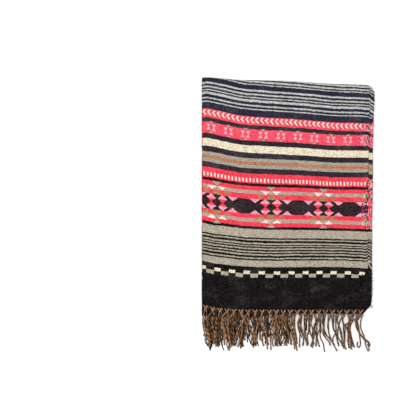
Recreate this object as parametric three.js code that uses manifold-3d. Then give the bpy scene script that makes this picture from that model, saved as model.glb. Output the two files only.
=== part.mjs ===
// A woven scarf with a fringe at each end, folded and laid flat.
//
// It is folded once lengthwise, so that its two selvedges lie on the right and the fold on the left,
// and then twice crosswise, so that both fringed ends come together at the front. That makes eight
// layers of cloth. From the top down: the near end, the far end, then the two middle quarters.
// The top quarter is a pair of layers that wraps over the back of the pile down to the floor.
// The six layers inside it share one solid, whose edges are cut into layers.
//
// Millimetres. +X runs across the scarf from the long fold to the selvedges, +Y from the fringe
// to the back fold, and +Z up.

import * as THREE from 'three';
import { mergeVertices } from 'three/addons/utils/BufferGeometryUtils.js';
import Module from 'manifold-3d';

const wasm = await Module();
wasm.setup();

// ---------------------------------------------------------------- driving dimensions

const scarf = { width: 700, length: 1900, thickness: 1.5 };
const layers = { count: 8, pitch: 2.1 };
const selvedgeStep = 9;       // how far the lower half's selvedge reaches past the upper half's
const seamGap = 0.4;          // clearance between one piece and the next
const foldSpring = {          // the folded edges stand a little higher than the middle
  atBack: 0.08,
  atLongFold: 0.055,
  width: 60,
};
const fringe = {
  length: 80,                 // cords below the edge of the cloth
  lengthSpread: 0.07,
  cordsPerLayer: 23,
  cordRadius: 1.2,
  stripWidth: 2.4,            // backing that the cords grow from
  stripOverhang: 4.4,         // past the first and the last cord
  rootHalfWidth: 3.4,         // of a cord where its two groups of warp leave the strip
  rootHalfHeight: 0.6,
  rootLength: 8,
  sway: 4,                    // the whole fringe leans to and fro along the edge
  swayWave: 140,
  sinks: [3, 11, 18, 25, 34], // distances past the lowest edge: the cords sink from the first to the last
  cornerClear: 10,            // the edge that carries cords ends short of the selvedge's corner
};

// The back fold and the front edge aren't quite straight: each row gives the distance across from the
// long fold, and how far the back fold and the front edge stand from their nominal lines there.
const outline = [
  { across: 0, back: 6.5, front: 13.0 },
  { across: 10, back: 7.2, front: 9.0 },
  { across: 30, back: 6.0, front: 5.0 },
  { across: 55, back: 3.6, front: 1.8 },
  { across: 80, back: 1.8, front: 0.6 },
  { across: 170, back: -0.4, front: 0.0 },
  { across: 264, back: -6.5, front: 0.0 },
  { across: 316, back: -8.2, front: 0.0 },
  { across: 339, back: -10.0, front: 0.0 },
  { across: 348, back: -14.5, front: 5.0 },
  { across: 354, back: -24.0, front: 24.0 },
];

// Where the cords of the fringe draw together, how strongly, and over what width.
const bunches = [
  { across: 12, pull: 0.45, spread: 14 },
  { across: 44, pull: 0.6, spread: 13 },
  { across: 82, pull: 0.5, spread: 15 },
  { across: 118, pull: 0.6, spread: 14 },
  { across: 151, pull: 0.5, spread: 13 },
  { across: 186, pull: 0.65, spread: 14 },
  { across: 226, pull: 0.55, spread: 15 },
  { across: 262, pull: 0.6, spread: 14 },
  { across: 306, pull: 0.7, spread: 17 },
  { across: 355, pull: 0.6, spread: 20 },
];

// The fringe of each layer: the layer that it leaves, the step of its cords along the edge as a share of
// their spacing, whether its edge follows the front edge, how far it stands out past there at the long
// fold and at the selvedge, the height at which the cords come to lie, and their length as a share of
// the whole. The far end of the scarf lies a little lower than the near end, and its edge is straighter.
const fringes = [
  { name: 'fringe_near_upper', layer: 1, shift: 0.0, follows: 1, atFold: 0, atSelvedge: 0, lies: 8.4, length: 1.0 },
  { name: 'fringe_near_lower', layer: 2, shift: 0.5, follows: 1, atFold: 0, atSelvedge: 0, lies: 6.0, length: 0.99 },
  { name: 'fringe_far_upper', layer: 3, shift: 0.25, follows: 0, atFold: 12, atSelvedge: 7, lies: 3.6, length: 0.91 },
  { name: 'fringe_far_lower', layer: 4, shift: 0.75, follows: 0, atFold: 9, atSelvedge: 5, lies: 1.2, length: 0.91 },
];

// ---------------------------------------------------------------- sizes that follow from them

const half = scarf.thickness / 2;
const upperWidth = scarf.width / 2 - selvedgeStep / 2 - half;
const lowerWidth = upperWidth + selvedgeStep;
const pileHeight = (layers.count - 1) * layers.pitch + scarf.thickness;
const noseLine = scarf.length / 4 - pileHeight / 2;              // where the back fold starts to turn

const colours = {
  cloth: new THREE.Color(0.62, 0.22, 0.26),
  hidden: new THREE.Color(0.12, 0.11, 0.12),
  fringe: new THREE.Color(0.33, 0.21, 0.13),
};

/** Height of the middle of a layer; layer 1 is on top, the last one lies on the floor. */
const layerHeight = (layer) => half + (layers.count - layer) * layers.pitch;

/** A smooth curve through one column of a table, read at a distance across. */
function readColumn(table, column, across) {
  const last = table.length - 1;
  const held = THREE.MathUtils.clamp(across, table[0].across, table[last].across);
  let row = 0;
  while (row < last - 1 && table[row + 1].across < held) row += 1;
  const slope = (i) => {
    const before = table[Math.max(i - 1, 0)];
    const after = table[Math.min(i + 1, last)];
    return (after[column] - before[column]) / (after.across - before.across);
  };
  const a = table[row];
  const b = table[row + 1];
  const span = b.across - a.across;
  const t = (held - a.across) / span;
  const bend = t * t * (3 - 2 * t);
  const leave = slope(row) * span * t * (1 - t) * (1 - t);
  const arrive = slope(row + 1) * span * t * t * (t - 1);
  return a[column] + (b[column] - a[column]) * bend + leave + arrive;
}

const frontEdge = (across) => readColumn(outline, 'front', across);
const noseEdge = (across) => noseLine + readColumn(outline, 'back', across);

/** The folded edges spring up a little, the middle lies flat. */
function settle(across, along, height) {
  const near = (distance) => 1 - THREE.MathUtils.smoothstep(distance, 0, foldSpring.width);
  const atLongFold = foldSpring.atLongFold * near(across);
  const atBack = foldSpring.atBack * near(noseEdge(across) - along);
  return new THREE.Vector3(across, along, height * (1 + Math.max(atLongFold, atBack)));
}

// ---------------------------------------------------------------- closed surfaces

/** Triangles that fill a flat contour, turning the way that its points run. */
function filled(contour) {
  const around = Math.sign(THREE.ShapeUtils.area(contour));
  return THREE.ShapeUtils.triangulateShape(contour, []).map(([a, b, c]) => {
    const turn = Math.sign(THREE.ShapeUtils.area([contour[a], contour[b], contour[c]]));
    return turn === around ? [a, b, c] : [a, c, b];
  });
}

/** Triangles that fill the end of a wall: rungs between its two sides, and a point at each rim. */
function rungs(count) {
  const across = (i) => 2 * count - i;
  const faces = [[count - 1, count, count + 1], [0, across(0), across(0) + 1]];
  for (let i = 0; i + 1 < count; i += 1) {
    faces.push([i, i + 1, across(i + 1)], [i, across(i + 1), across(i)]);
  }
  return faces;
}

/** A closed body from equal rings of points, its ends filled with the triangles given. */
function closedLoft(rings, firstFaces, lastFaces = firstFaces) {
  const count = rings[0].length;
  const index = [];
  for (let ring = 0; ring + 1 < rings.length; ring += 1) {
    for (let i = 0; i < count; i += 1) {
      const a = ring * count + i;
      const b = ring * count + ((i + 1) % count);
      index.push(a, b, b + count, a, b + count, a + count);
    }
  }
  const last = (rings.length - 1) * count;
  for (const [a, b, c] of firstFaces) index.push(c, b, a);
  for (const [a, b, c] of lastFaces) index.push(last + a, last + b, last + c);
  const geometry = new THREE.BufferGeometry().setFromPoints(rings.flat());
  geometry.setIndex(index);
  return facingOut(geometry);
}

/** Turns a closed body the right way out. */
function facingOut(geometry) {
  const points = geometry.getAttribute('position');
  const index = geometry.getIndex();
  const [a, b, c] = [new THREE.Vector3(), new THREE.Vector3(), new THREE.Vector3()];
  let volume = 0;
  for (let i = 0; i < index.count; i += 3) {
    a.fromBufferAttribute(points, index.getX(i));
    b.fromBufferAttribute(points, index.getX(i + 1));
    c.fromBufferAttribute(points, index.getX(i + 2));
    volume += a.dot(b.cross(c));
  }
  if (volume < 0) index.array.reverse();
  return geometry;
}

const toSolid = (geometry) => {
  const bare = mergeVertices(geometry);
  return new wasm.Manifold(new wasm.Mesh({
    numProp: 3,
    vertProperties: new Float32Array(bare.getAttribute('position').array),
    triVerts: new Uint32Array(bare.getIndex().array),
  }));
};

const toGeometry = (solid) => {
  const mesh = solid.getMesh();
  const geometry = new THREE.BufferGeometry();
  geometry.setAttribute('position', new THREE.BufferAttribute(mesh.vertProperties, 3));
  geometry.setIndex(new THREE.BufferAttribute(mesh.triVerts, 1));
  return geometry;
};

function namedMesh(name, geometry, color) {
  const shaded = geometry.toNonIndexed();
  shaded.computeVertexNormals();
  const material = new THREE.MeshStandardMaterial({ color, roughness: 0.95, metalness: 0 });
  const mesh = new THREE.Mesh(shaded, material);
  mesh.name = name;
  return mesh;
}

/** Distances from the long fold, between two limits: the outline's rows, and halfway where they are close. */
function stationsAcross(from, to) {
  const close = 24;
  const apart = 1.5;
  const places = outline.flatMap(({ across }, i) => {
    const next = outline[i + 1]?.across ?? across;
    const halfway = next > across && next - across < close;
    return halfway ? [across, (across + next) / 2] : [across];
  });
  return [from, ...places.filter((x) => x > from + apart && x < to - apart), to];
}

// Shares of the way from the front edge to the back fold, closer together where the pile rises.
const flatStations = [0, 0.03, 0.2, 0.5, 0.87, 0.92, 0.96, 1];

// ---------------------------------------------------------------- the top fold

/** Section of the folded pair: distance across, and height from the middle of the pair. */
function pairSection() {
  const outer = (layers.pitch + scarf.thickness) / 2;
  const inner = (layers.pitch - scarf.thickness) / 2;
  const turnSteps = 6;
  const side = (radius) => {
    const upper = stationsAcross(outer * 2, upperWidth).map((x) => new THREE.Vector2(x, radius));
    const turn = Array.from({ length: turnSteps + 1 }, (_, i) => {
      const angle = Math.PI * (0.5 + i / turnSteps);
      return new THREE.Vector2(outer + radius * Math.cos(angle), radius * Math.sin(angle));
    });
    const lower = stationsAcross(outer * 2, lowerWidth).map((x) => new THREE.Vector2(x, -radius));
    return [...upper.reverse(), ...turn, ...lower];
  };
  const rimBulge = half * 0.6;
  const rim = (width, height) => new THREE.Vector2(width + rimBulge, height);
  const outside = side(outer);
  const points = [
    ...outside,
    rim(lowerWidth, -layers.pitch / 2),
    ...side(inner).reverse(),
    rim(upperWidth, layers.pitch / 2),
  ];
  return { points, wallPoints: outside.length };
}

/** The pair runs from the front edge to the back, and turns half round there, down to the floor. */
function topFold() {
  const middleHeight = (layerHeight(1) + layerHeight(2)) / 2;
  const turnHeight = pileHeight / 2;
  const turnRadius = middleHeight - turnHeight;
  const { points, wallPoints } = pairSection();
  const turnSteps = 9;
  const rings = flatStations.map((share) => points.map(({ x, y }) => {
    const along = THREE.MathUtils.lerp(frontEdge(x), noseEdge(x), share);
    return settle(x, along, middleHeight + y);
  }));
  for (let step = 1; step <= turnSteps; step += 1) {
    const angle = Math.PI * (0.5 - step / turnSteps);
    rings.push(points.map(({ x, y }) => {
      const reach = turnRadius + y;
      const along = noseEdge(x) + reach * Math.cos(angle);
      return settle(x, along, turnHeight + reach * Math.sin(angle));
    }));
  }
  return closedLoft(rings, rungs(wallPoints));
}

// ---------------------------------------------------------------- the hidden folds

// Each edge of the hidden pile, as the runs of layers that turn into one another there, with how far each
// run reaches past the edge line. A run of one layer is a cut edge.
const hiddenEdges = {
  fold: [
    { from: 3, to: 4, reach: -1.5 },
    { from: 5, to: 6, reach: -0.6 },
    { from: 7, to: 8, reach: -2.4 },
  ],
  back: [
    { from: 3, to: 6, reach: 1.5 * layers.pitch + half },
    { from: 7, to: 7, reach: -2 * seamGap },
    { from: 8, to: 8, reach: -2 * seamGap },
  ],
  selvedge: [
    { from: 3, to: 3, reach: 7.5 },
    { from: 4, to: 4, reach: -0.8 },
    { from: 5, to: 5, reach: 0.6 },
    { from: 6, to: 6, reach: 8.0 },
    { from: 7, to: 7, reach: 6.8 },
    { from: 8, to: 8, reach: -1.2 },
  ],
  front: [
    ...fringes.filter(({ layer }) => layer > 2).map((row) => (
      { from: row.layer, to: row.layer, reach: (across) => frontEdge(across) - hem(row, across) })),
    { from: 5, to: 8, reach: -6 },
  ],
};
const hiddenPile = { cornerRadius: 14, grooveDepth: 11, cornerSteps: 4, topInsets: [60, 30, 12] };

/** How far an edge reaches at a height and a distance across; between two runs it is a groove. */
function edgeReach(runs, height, across) {
  for (const run of runs) {
    const top = layerHeight(run.from) + half;
    const bottom = layerHeight(run.to) - half;
    if (height <= top && height >= bottom) {
      const radius = (top - bottom) / 2;
      const rise = height - (top + bottom) / 2;
      const reach = typeof run.reach === 'function' ? run.reach(across) : run.reach;
      return reach - radius + Math.sqrt(Math.max(radius * radius - rise * rise, 0));
    }
  }
  return -hiddenPile.grooveDepth;
}

/** Stations round the hidden pile: a hub inside it, and the ways out from there to one edge or to two. */
function hiddenStations() {
  const radius = hiddenPile.cornerRadius;
  const across = stationsAcross(radius, upperWidth - radius);
  const along = flatStations.map((t) => THREE.MathUtils.lerp(radius, noseLine - radius, t));
  const sides = [
    { edge: 'front', out: new THREE.Vector2(0, -1), hubs: across.map((x) => [x, radius]) },
    { edge: 'selvedge', out: new THREE.Vector2(1, 0), hubs: along.map((y) => [upperWidth - radius, y]) },
    { edge: 'back', out: new THREE.Vector2(0, 1), hubs: across.map((x) => [x, noseLine - radius]).reverse() },
    { edge: 'fold', out: new THREE.Vector2(-1, 0), hubs: along.map((y) => [radius, y]).reverse() },
  ];
  return sides.flatMap((side, number) => {
    const next = sides[(number + 1) % sides.length];
    const straight = side.hubs.map(([x, y]) => ({ hub: new THREE.Vector2(x, y), side, next, turn: 0 }));
    const { hub } = straight[straight.length - 1];
    const corner = Array.from({ length: hiddenPile.cornerSteps - 1 }, (_, i) => (
      { hub, side, next, turn: (Math.PI / 2) * ((i + 1) / hiddenPile.cornerSteps) }));
    return [...straight, ...corner];
  });
}

/** A point out from a station's hub, so far past the edge on one side and so far on the next. */
function stationPoint({ hub, side, next, turn }, reach, nextReach) {
  const squareness = 0.5;
  const radius = hiddenPile.cornerRadius;
  return hub.clone()
    .addScaledVector(side.out, (radius + reach) * Math.cos(turn) ** squareness)
    .addScaledVector(next.out, (radius + nextReach) * Math.sin(turn) ** squareness);
}

/** Heights down the side of the hidden pile: each layer's rim, and a groove below it. */
function hiddenRows() {
  const rows = [];
  const sliver = 0.001;
  for (let layer = 3; layer <= layers.count; layer += 1) {
    const middle = layerHeight(layer);
    rows.push(middle + half - sliver, middle, middle - half + sliver);
    if (layer < layers.count) rows.push(middle - half - sliver, layerHeight(layer + 1) + half + sliver);
  }
  return rows;
}

/** A point of the pile's nominal rectangle, moved to the real front edge and back fold. */
function layOut(point, height) {
  const inside = THREE.MathUtils.clamp(point.y / noseLine, 0, 1);
  const along = THREE.MathUtils.lerp(frontEdge(point.x), noseEdge(point.x), inside);
  return settle(point.x, along + point.y - inside * noseLine, height);
}

function innerFolds() {
  const stations = hiddenStations();
  const middle = new THREE.Vector2(upperWidth / 2, noseLine / 2);
  const groove = hiddenPile.grooveDepth;
  const rings = hiddenPile.topInsets.map((depth) => stations.map((station) => {
    const point = stationPoint(station, -groove, -groove).lerp(middle, (depth - groove) / middle.x);
    return layOut(point, layerHeight(3) + half);
  }));
  for (const height of hiddenRows()) {
    rings.push(stations.map((station) => {
      const reach = edgeReach(hiddenEdges[station.side.edge], height, station.hub.x);
      const nextReach = edgeReach(hiddenEdges[station.next.edge], height, station.hub.x);
      return layOut(stationPoint(station, reach, nextReach), height);
    }));
  }
  const underside = rings[rings.length - 1];
  for (const point of underside) point.z = 0;
  const flat = (ring) => filled(ring.map(({ x, y }) => new THREE.Vector2(x, y)));
  return closedLoft(rings, flat(rings[0]), flat(underside));
}

// ---------------------------------------------------------------- the fringe

/** The front edge where it carries cords: it doesn't follow the rounded corner at the selvedge. */
const cordedEdge = (across) => frontEdge(Math.min(across, upperWidth - fringe.cornerClear));

/** Where the edge of a fringe's own layer lies. */
function hem(row, across) {
  const out = THREE.MathUtils.lerp(row.atFold, row.atSelvedge, across / upperWidth);
  return row.follows * cordedEdge(across) - out;
}

/** The lowest of the edges, past which the cords sink to the floor. */
const lowestEdge = (across) => Math.min(...fringes.map((row) => hem(row, across)));

/** How far a cord is drawn aside: by the lean of the whole fringe, and towards the bunches near it. */
function drawnAside(row, across, share) {
  const lean = Math.sin((2 * Math.PI * across) / fringe.swayWave + row.layer);
  let aside = fringe.sway * lean * share * share;
  for (const bunch of bunches) {
    const near = Math.exp(-(((across - bunch.across) / bunch.spread) ** 2));
    aside += near * bunch.pull * (bunch.across - across) * share ** 1.3;
  }
  return aside;
}

/** Where a cord leaves its strip, and its length. */
function cordRun(row, across) {
  const uneven = Math.sin(across * 0.9 + row.layer * 2);
  const length = fringe.length * row.length * (1 + fringe.lengthSpread * uneven);
  return { begin: hem(row, across) - seamGap - fringe.stripWidth / 2, length };
}

/** The centre of a cord, at a share of its way from the edge of the cloth to its tip. */
function cordPoint(row, across, share) {
  const { begin, length } = cordRun(row, across);
  const along = begin - share * length;
  const past = lowestEdge(across) - along;
  const sunk = THREE.MathUtils.smoothstep(past, fringe.sinks[0], fringe.sinks[fringe.sinks.length - 1]);
  const height = THREE.MathUtils.lerp(layerHeight(row.layer), row.lies, sunk);
  return settle(across + drawnAside(row, across, share), along, height);
}

/** The shares of a cord's way at which it has a section: its root, its bends as it sinks, and its tip. */
function cordShares(row, across) {
  const { begin, length } = cordRun(row, across);
  const root = fringe.rootLength / length;
  const bends = fringe.sinks.map((past) => (begin - lowestEdge(across) + past) / length);
  return [0, root, ...bends.filter((share) => share > root + 0.05 && share < 0.8), 0.82, 1];
}

/** One cord: flat and wide where its two groups of warp leave the edge, then a three-sided strand. */
function cord(row, across) {
  const shares = cordShares(row, across);
  const corners = [0, 1, 2].map((i) => Math.PI * (0.5 + (2 * i) / 3));
  const rings = shares.map((share) => {
    const centre = cordPoint(row, across, share);
    const wide = share === 0 ? fringe.rootHalfWidth : fringe.cordRadius;
    const high = share === 0 ? fringe.rootHalfHeight : fringe.cordRadius;
    return corners.map((angle) => {
      const { x, y, z } = centre;
      return new THREE.Vector3(x + wide * Math.cos(angle), y, z + high * Math.sin(angle));
    });
  });
  return closedLoft(rings, [[0, 1, 2]]);
}

/** The strip that the cords of one fringe grow from, just clear of the cloth's edge. */
function backingStrip(row, from, to) {
  const middle = layerHeight(row.layer);
  const rings = stationsAcross(from, to).map((across) => {
    const inside = hem(row, across) - seamGap;
    const outside = inside - fringe.stripWidth;
    return [
      settle(across, inside, middle + half),
      settle(across, outside, middle + half),
      settle(across, outside, middle - half),
      settle(across, inside, middle - half),
    ];
  });
  return closedLoft(rings, [[0, 1, 2], [0, 2, 3]]);
}

function fringeOf(row) {
  const spacing = upperWidth / fringe.cordsPerLayer;
  const firstCord = 0.15 + 0.9 * row.shift;
  const places = Array.from({ length: fringe.cordsPerLayer }, (_, i) => spacing * (i + firstCord));
  const from = Math.max(places[0] - fringe.stripOverhang, 1);
  const to = places[places.length - 1] + fringe.stripOverhang;
  let solid = toSolid(backingStrip(row, from, to));
  for (const across of places) solid = solid.add(toSolid(cord(row, across)));
  return toGeometry(solid);
}

// ---------------------------------------------------------------- the scarf

const folded = new THREE.Group();
folded.add(namedMesh('top_fold', topFold(), colours.cloth));
folded.add(namedMesh('inner_folds', innerFolds(), colours.hidden));
for (const row of fringes) folded.add(namedMesh(row.name, fringeOf(row), colours.fringe));

// The origin is on the floor, at the middle of the whole.
const bounds = new THREE.Box3().setFromObject(folded);
const centre = bounds.getCenter(new THREE.Vector3());
folded.position.set(-centre.x, -centre.y, 0);

const scarfModel = new THREE.Group();
scarfModel.add(folded);

export default scarfModel;
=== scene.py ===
"""A woven scarf with a twisted fringe, folded twice across and once along, and laid flat.

The cloth is one sheet: it is worked out in weave coordinates (distance from one selvedge, distance
from the near hem), doubled lengthwise and then run through the pile.  Sizes are in millimetres;
meshes are written in metres.
"""

from __future__ import annotations

import logging
import math
from dataclasses import dataclass, field
from enum import Enum
from typing import Sequence

import bpy
import numpy as np
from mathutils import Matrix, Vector

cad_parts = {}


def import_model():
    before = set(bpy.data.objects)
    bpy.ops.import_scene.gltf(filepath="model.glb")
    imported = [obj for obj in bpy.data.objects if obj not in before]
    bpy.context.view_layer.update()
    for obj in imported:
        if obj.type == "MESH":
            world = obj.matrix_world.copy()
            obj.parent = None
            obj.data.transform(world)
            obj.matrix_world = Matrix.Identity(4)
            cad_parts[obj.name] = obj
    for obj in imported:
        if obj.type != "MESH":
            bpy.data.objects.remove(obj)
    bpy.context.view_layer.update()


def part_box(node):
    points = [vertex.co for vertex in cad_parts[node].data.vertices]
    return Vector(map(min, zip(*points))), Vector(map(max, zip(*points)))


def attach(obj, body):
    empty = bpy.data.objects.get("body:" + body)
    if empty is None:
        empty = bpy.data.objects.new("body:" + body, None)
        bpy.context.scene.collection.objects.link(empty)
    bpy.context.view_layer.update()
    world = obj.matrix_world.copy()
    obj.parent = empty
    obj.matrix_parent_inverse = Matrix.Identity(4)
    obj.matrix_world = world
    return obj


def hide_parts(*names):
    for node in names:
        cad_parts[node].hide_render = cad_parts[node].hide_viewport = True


MM = 0.001
LOG = logging.getLogger("scarf")
Pair = tuple[float, float]
Colour = tuple[float, float, float]
Strand = tuple[np.ndarray, float]
Socket = bpy.types.NodeSocket


# ------------------------------------------------------------------ small tools


def linear(red: int, green: int, blue: int) -> Colour:
    """Turn a display colour into linear light.

    Args:
        red: Red, 0 to 255.
        green: Green, 0 to 255.
        blue: Blue, 0 to 255.

    Returns:
        The same colour as linear red, green and blue.
    """
    def one(value: int) -> float:
        """Turn one channel."""
        share = value / 255.0
        return share / 12.92 if share <= 0.04045 else ((share + 0.055) / 1.055) ** 2.4

    return one(red), one(green), one(blue)


def smoothstep(value: np.ndarray | float, low: float, high: float) -> np.ndarray:
    """Rise softly from 0 to 1 between two limits.

    Args:
        value: Where to read the step.
        low: Below this it is 0.
        high: Above this it is 1.

    Returns:
        The height of the step at each value.
    """
    share = np.clip((value - low) / (high - low), 0.0, 1.0)
    return share * share * (3.0 - 2.0 * share)


@dataclass(frozen=True)
class Curve:
    """A smooth curve through stations, level beyond its ends."""

    stations: Sequence[float]
    values: Sequence[float]

    def __call__(self, at: np.ndarray | float) -> np.ndarray:
        """Read the curve.

        Args:
            at: Distances at which to read it.

        Returns:
            The values there.
        """
        x = np.asarray(self.stations, float)
        y = np.asarray(self.values, float)
        held = np.clip(np.asarray(at, float), x[0], x[-1])
        row = np.clip(np.searchsorted(x, held, side="right") - 1, 0, len(x) - 2)
        before = np.maximum(np.arange(len(x)) - 1, 0)
        after = np.minimum(np.arange(len(x)) + 1, len(x) - 1)
        slope = (y[after] - y[before]) / (x[after] - x[before])
        span = x[row + 1] - x[row]
        t = (held - x[row]) / span
        bend = t * t * (3 - 2 * t)
        leave = slope[row] * span * t * (1 - t) * (1 - t)
        arrive = slope[row + 1] * span * t * t * (t - 1)
        return y[row] + (y[row + 1] - y[row]) * bend + leave + arrive


def mesh_object(name: str, points: np.ndarray, faces: list[tuple[int, ...]]) -> bpy.types.Object:
    """Make a mesh object at the origin.

    Args:
        name: Its name.
        points: One row of x, y and z for each point, in metres.
        faces: The corners of each face.

    Returns:
        The object, linked to the scene.
    """
    mesh = bpy.data.meshes.new(name)
    mesh.from_pydata([tuple(p) for p in points], [], faces)
    mesh.validate()
    mesh.update()
    made = bpy.data.objects.new(name, mesh)
    bpy.context.scene.collection.objects.link(made)
    return made


def map_weave(mesh: bpy.types.Mesh, places: np.ndarray, span: float) -> None:
    """Give a mesh its places in the weave as a UV map.

    Args:
        mesh: The mesh.
        places: Distances across and along the cloth, one row for each point.
        span: Length of cloth that the map covers.
    """
    corner = np.empty(len(mesh.loops), dtype=np.int32)
    mesh.loops.foreach_get("vertex_index", corner)
    layer = mesh.uv_layers.new(name="weave")
    layer.data.foreach_set("uv", (places[corner] / span).astype(np.float32).ravel())


# ------------------------------------------------------------------ sizes of the folded scarf


@dataclass(frozen=True)
class Fold:
    """Sizes of the cloth and of the pile that it is folded into."""

    width: float = 698.2
    length: float = 1900.0
    folded_width: float = 350.0
    folded_length: float = 475.0
    thickness: float = 1.5
    pitch: float = 2.1
    layers: int = 8
    selvedge_step: float = 9.0

    @property
    def half(self) -> float:
        """Half the thickness of the cloth."""
        return self.thickness / 2

    @property
    def bend_centre(self) -> float:
        """Distance across of the centre that the long fold turns about."""
        return self.half + self.pitch / 2

    @property
    def upper_width(self) -> float:
        """Distance across of the upper half's selvedge."""
        return self.folded_width - self.selvedge_step / 2 - self.half

    @property
    def flat_upper(self) -> float:
        """Width of the upper half, up to where the long fold starts to turn."""
        return self.upper_width - self.bend_centre

    @property
    def bend_length(self) -> float:
        """Length of cloth in the turn of the long fold."""
        return math.pi * self.pitch / 2

    @property
    def pile_height(self) -> float:
        """Height of the eight layers."""
        return (self.layers - 1) * self.pitch + self.thickness

    @property
    def nose_line(self) -> float:
        """Distance along at which the back fold starts to turn."""
        return self.folded_length - self.pile_height / 2

    def level(self, steps: float) -> float:
        """Height so many layer pitches above the lowest layer's middle."""
        return self.half + steps * self.pitch


FOLD = Fold()


@dataclass(frozen=True)
class Outline:
    """The edges of the pile in plan, which aren't quite straight."""

    across: tuple[float, ...] = (0, 10, 30, 55, 80, 170, 264, 316, 339, 345, 349, 351.5, 354)
    back: tuple[float, ...] = (6.5, 7.2, 6.0, 3.6, 1.8, -0.4, -6.5, -8.2, -9.3, -9.9, -11.8, -14.6, -21.0)
    front_across: tuple[float, ...] = (0, 10, 30, 55, 80, 170, 330, 339, 345, 349, 352, 354)
    front: tuple[float, ...] = (13.0, 9.0, 5.0, 1.8, 0.6, 0.0, 0.0, 0.0, 1.0, 3.5, 8.0, 16.0)
    far_out: Curve = Curve((0, 40, 90, 140, 200, 300, 345), (13.0, 16.5, 15.0, 11.5, 9.2, 8.6, 8.6))
    far_corner: Curve = Curve((330, 338, 341.5, 344, 348, 351, 354), (0, 0, 1.3, 5.0, 11.5, 15.0, 24.0))
    far_step: float = 2.6
    far_step_reach: float = 70.0
    far_wave: Pair = (0.8, 29)

    def nose(self, across: np.ndarray) -> np.ndarray:
        """Where the back fold starts to turn, at a distance across."""
        return FOLD.nose_line + Curve(self.across, self.back)(across)

    def hem(self, across: np.ndarray) -> np.ndarray:
        """Where the near hem lies, at a distance across."""
        return Curve(self.front_across, self.front)(across)

    def far_hem(self, across: np.ndarray, lower: np.ndarray | float) -> np.ndarray:
        """Where the far hem lies, past the near one.

        Args:
            across: Distances across.
            lower: 1 on the half with the lower selvedge, 0 on the other.

        Returns:
            Distances along.
        """
        step = self.far_step * (1 - np.asarray(lower)) * smoothstep(across, 0, self.far_step_reach)
        size, length = self.far_wave
        wave = size * np.sin(np.asarray(across) / length)
        return self.far_corner(across) + step - self.far_out(across) + wave


OUTLINE = Outline()


@dataclass(frozen=True)
class WeftLines:
    """How far the weft lines lie from where a straight weave would have them.

    Each row holds the rise towards the back fold, at one distance from the hem, for the distances
    across in ``across``.
    """

    across: tuple[float, ...] = (0, 8, 22, 45, 82, 136, 202, 268, 322, 345)
    rows: tuple[tuple[float, tuple[float, ...]], ...] = (
        (87, (12.6, 11.4, 8.6, 5.4, 1.3, -0.5, 0, 0.2, -1.2, -3.2)),
        (166, (15.5, 13.9, 10.8, 8.2, 3.7, 0.6, 0, -1.2, -2.9, -3.7)),
        (300, (19.4, 19.0, 17.0, 12.0, 5.8, 2.7, 0, -4.1, -4.6, -4.4)),
        (386, (22.0, 23.2, 20.8, 15.6, 8.2, 3.9, 0, -5.6, -6.8, -8.3)),
        (475, (21.6, 23.8, 23.2, 18.2, 10.2, 5.0, 0, -6.4, -9.0, -10.4)),
    )

    def rise(self, across: np.ndarray) -> list[tuple[float, np.ndarray]]:
        """Read every row.

        Args:
            across: Distances across.

        Returns:
            The distance from the hem and the rise across, row by row.
        """
        return [(at, Curve(self.across, row)(across)) for at, row in self.rows]


# ------------------------------------------------------------------ the cloth


# The runs of the cloth's path through the pile: the height of each pair of layers, and of the centres
# that the turns between them go about, in layer pitches; how far each pair is shifted sideways; and
# which two runs each turn joins.
LEVELS = {"top": 6.5, "second": 4.5, "third": 2.5, "floor": 0.5, "back": 3.5, "inner": 3.5, "front": 1.5}
SHIFTS = {"top": 0.0, "floor": -1.4, "third": 0.9, "second": -0.9}
TURNS = {"back": ("top", "floor"), "front": ("floor", "third"), "inner": ("third", "second")}


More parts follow.
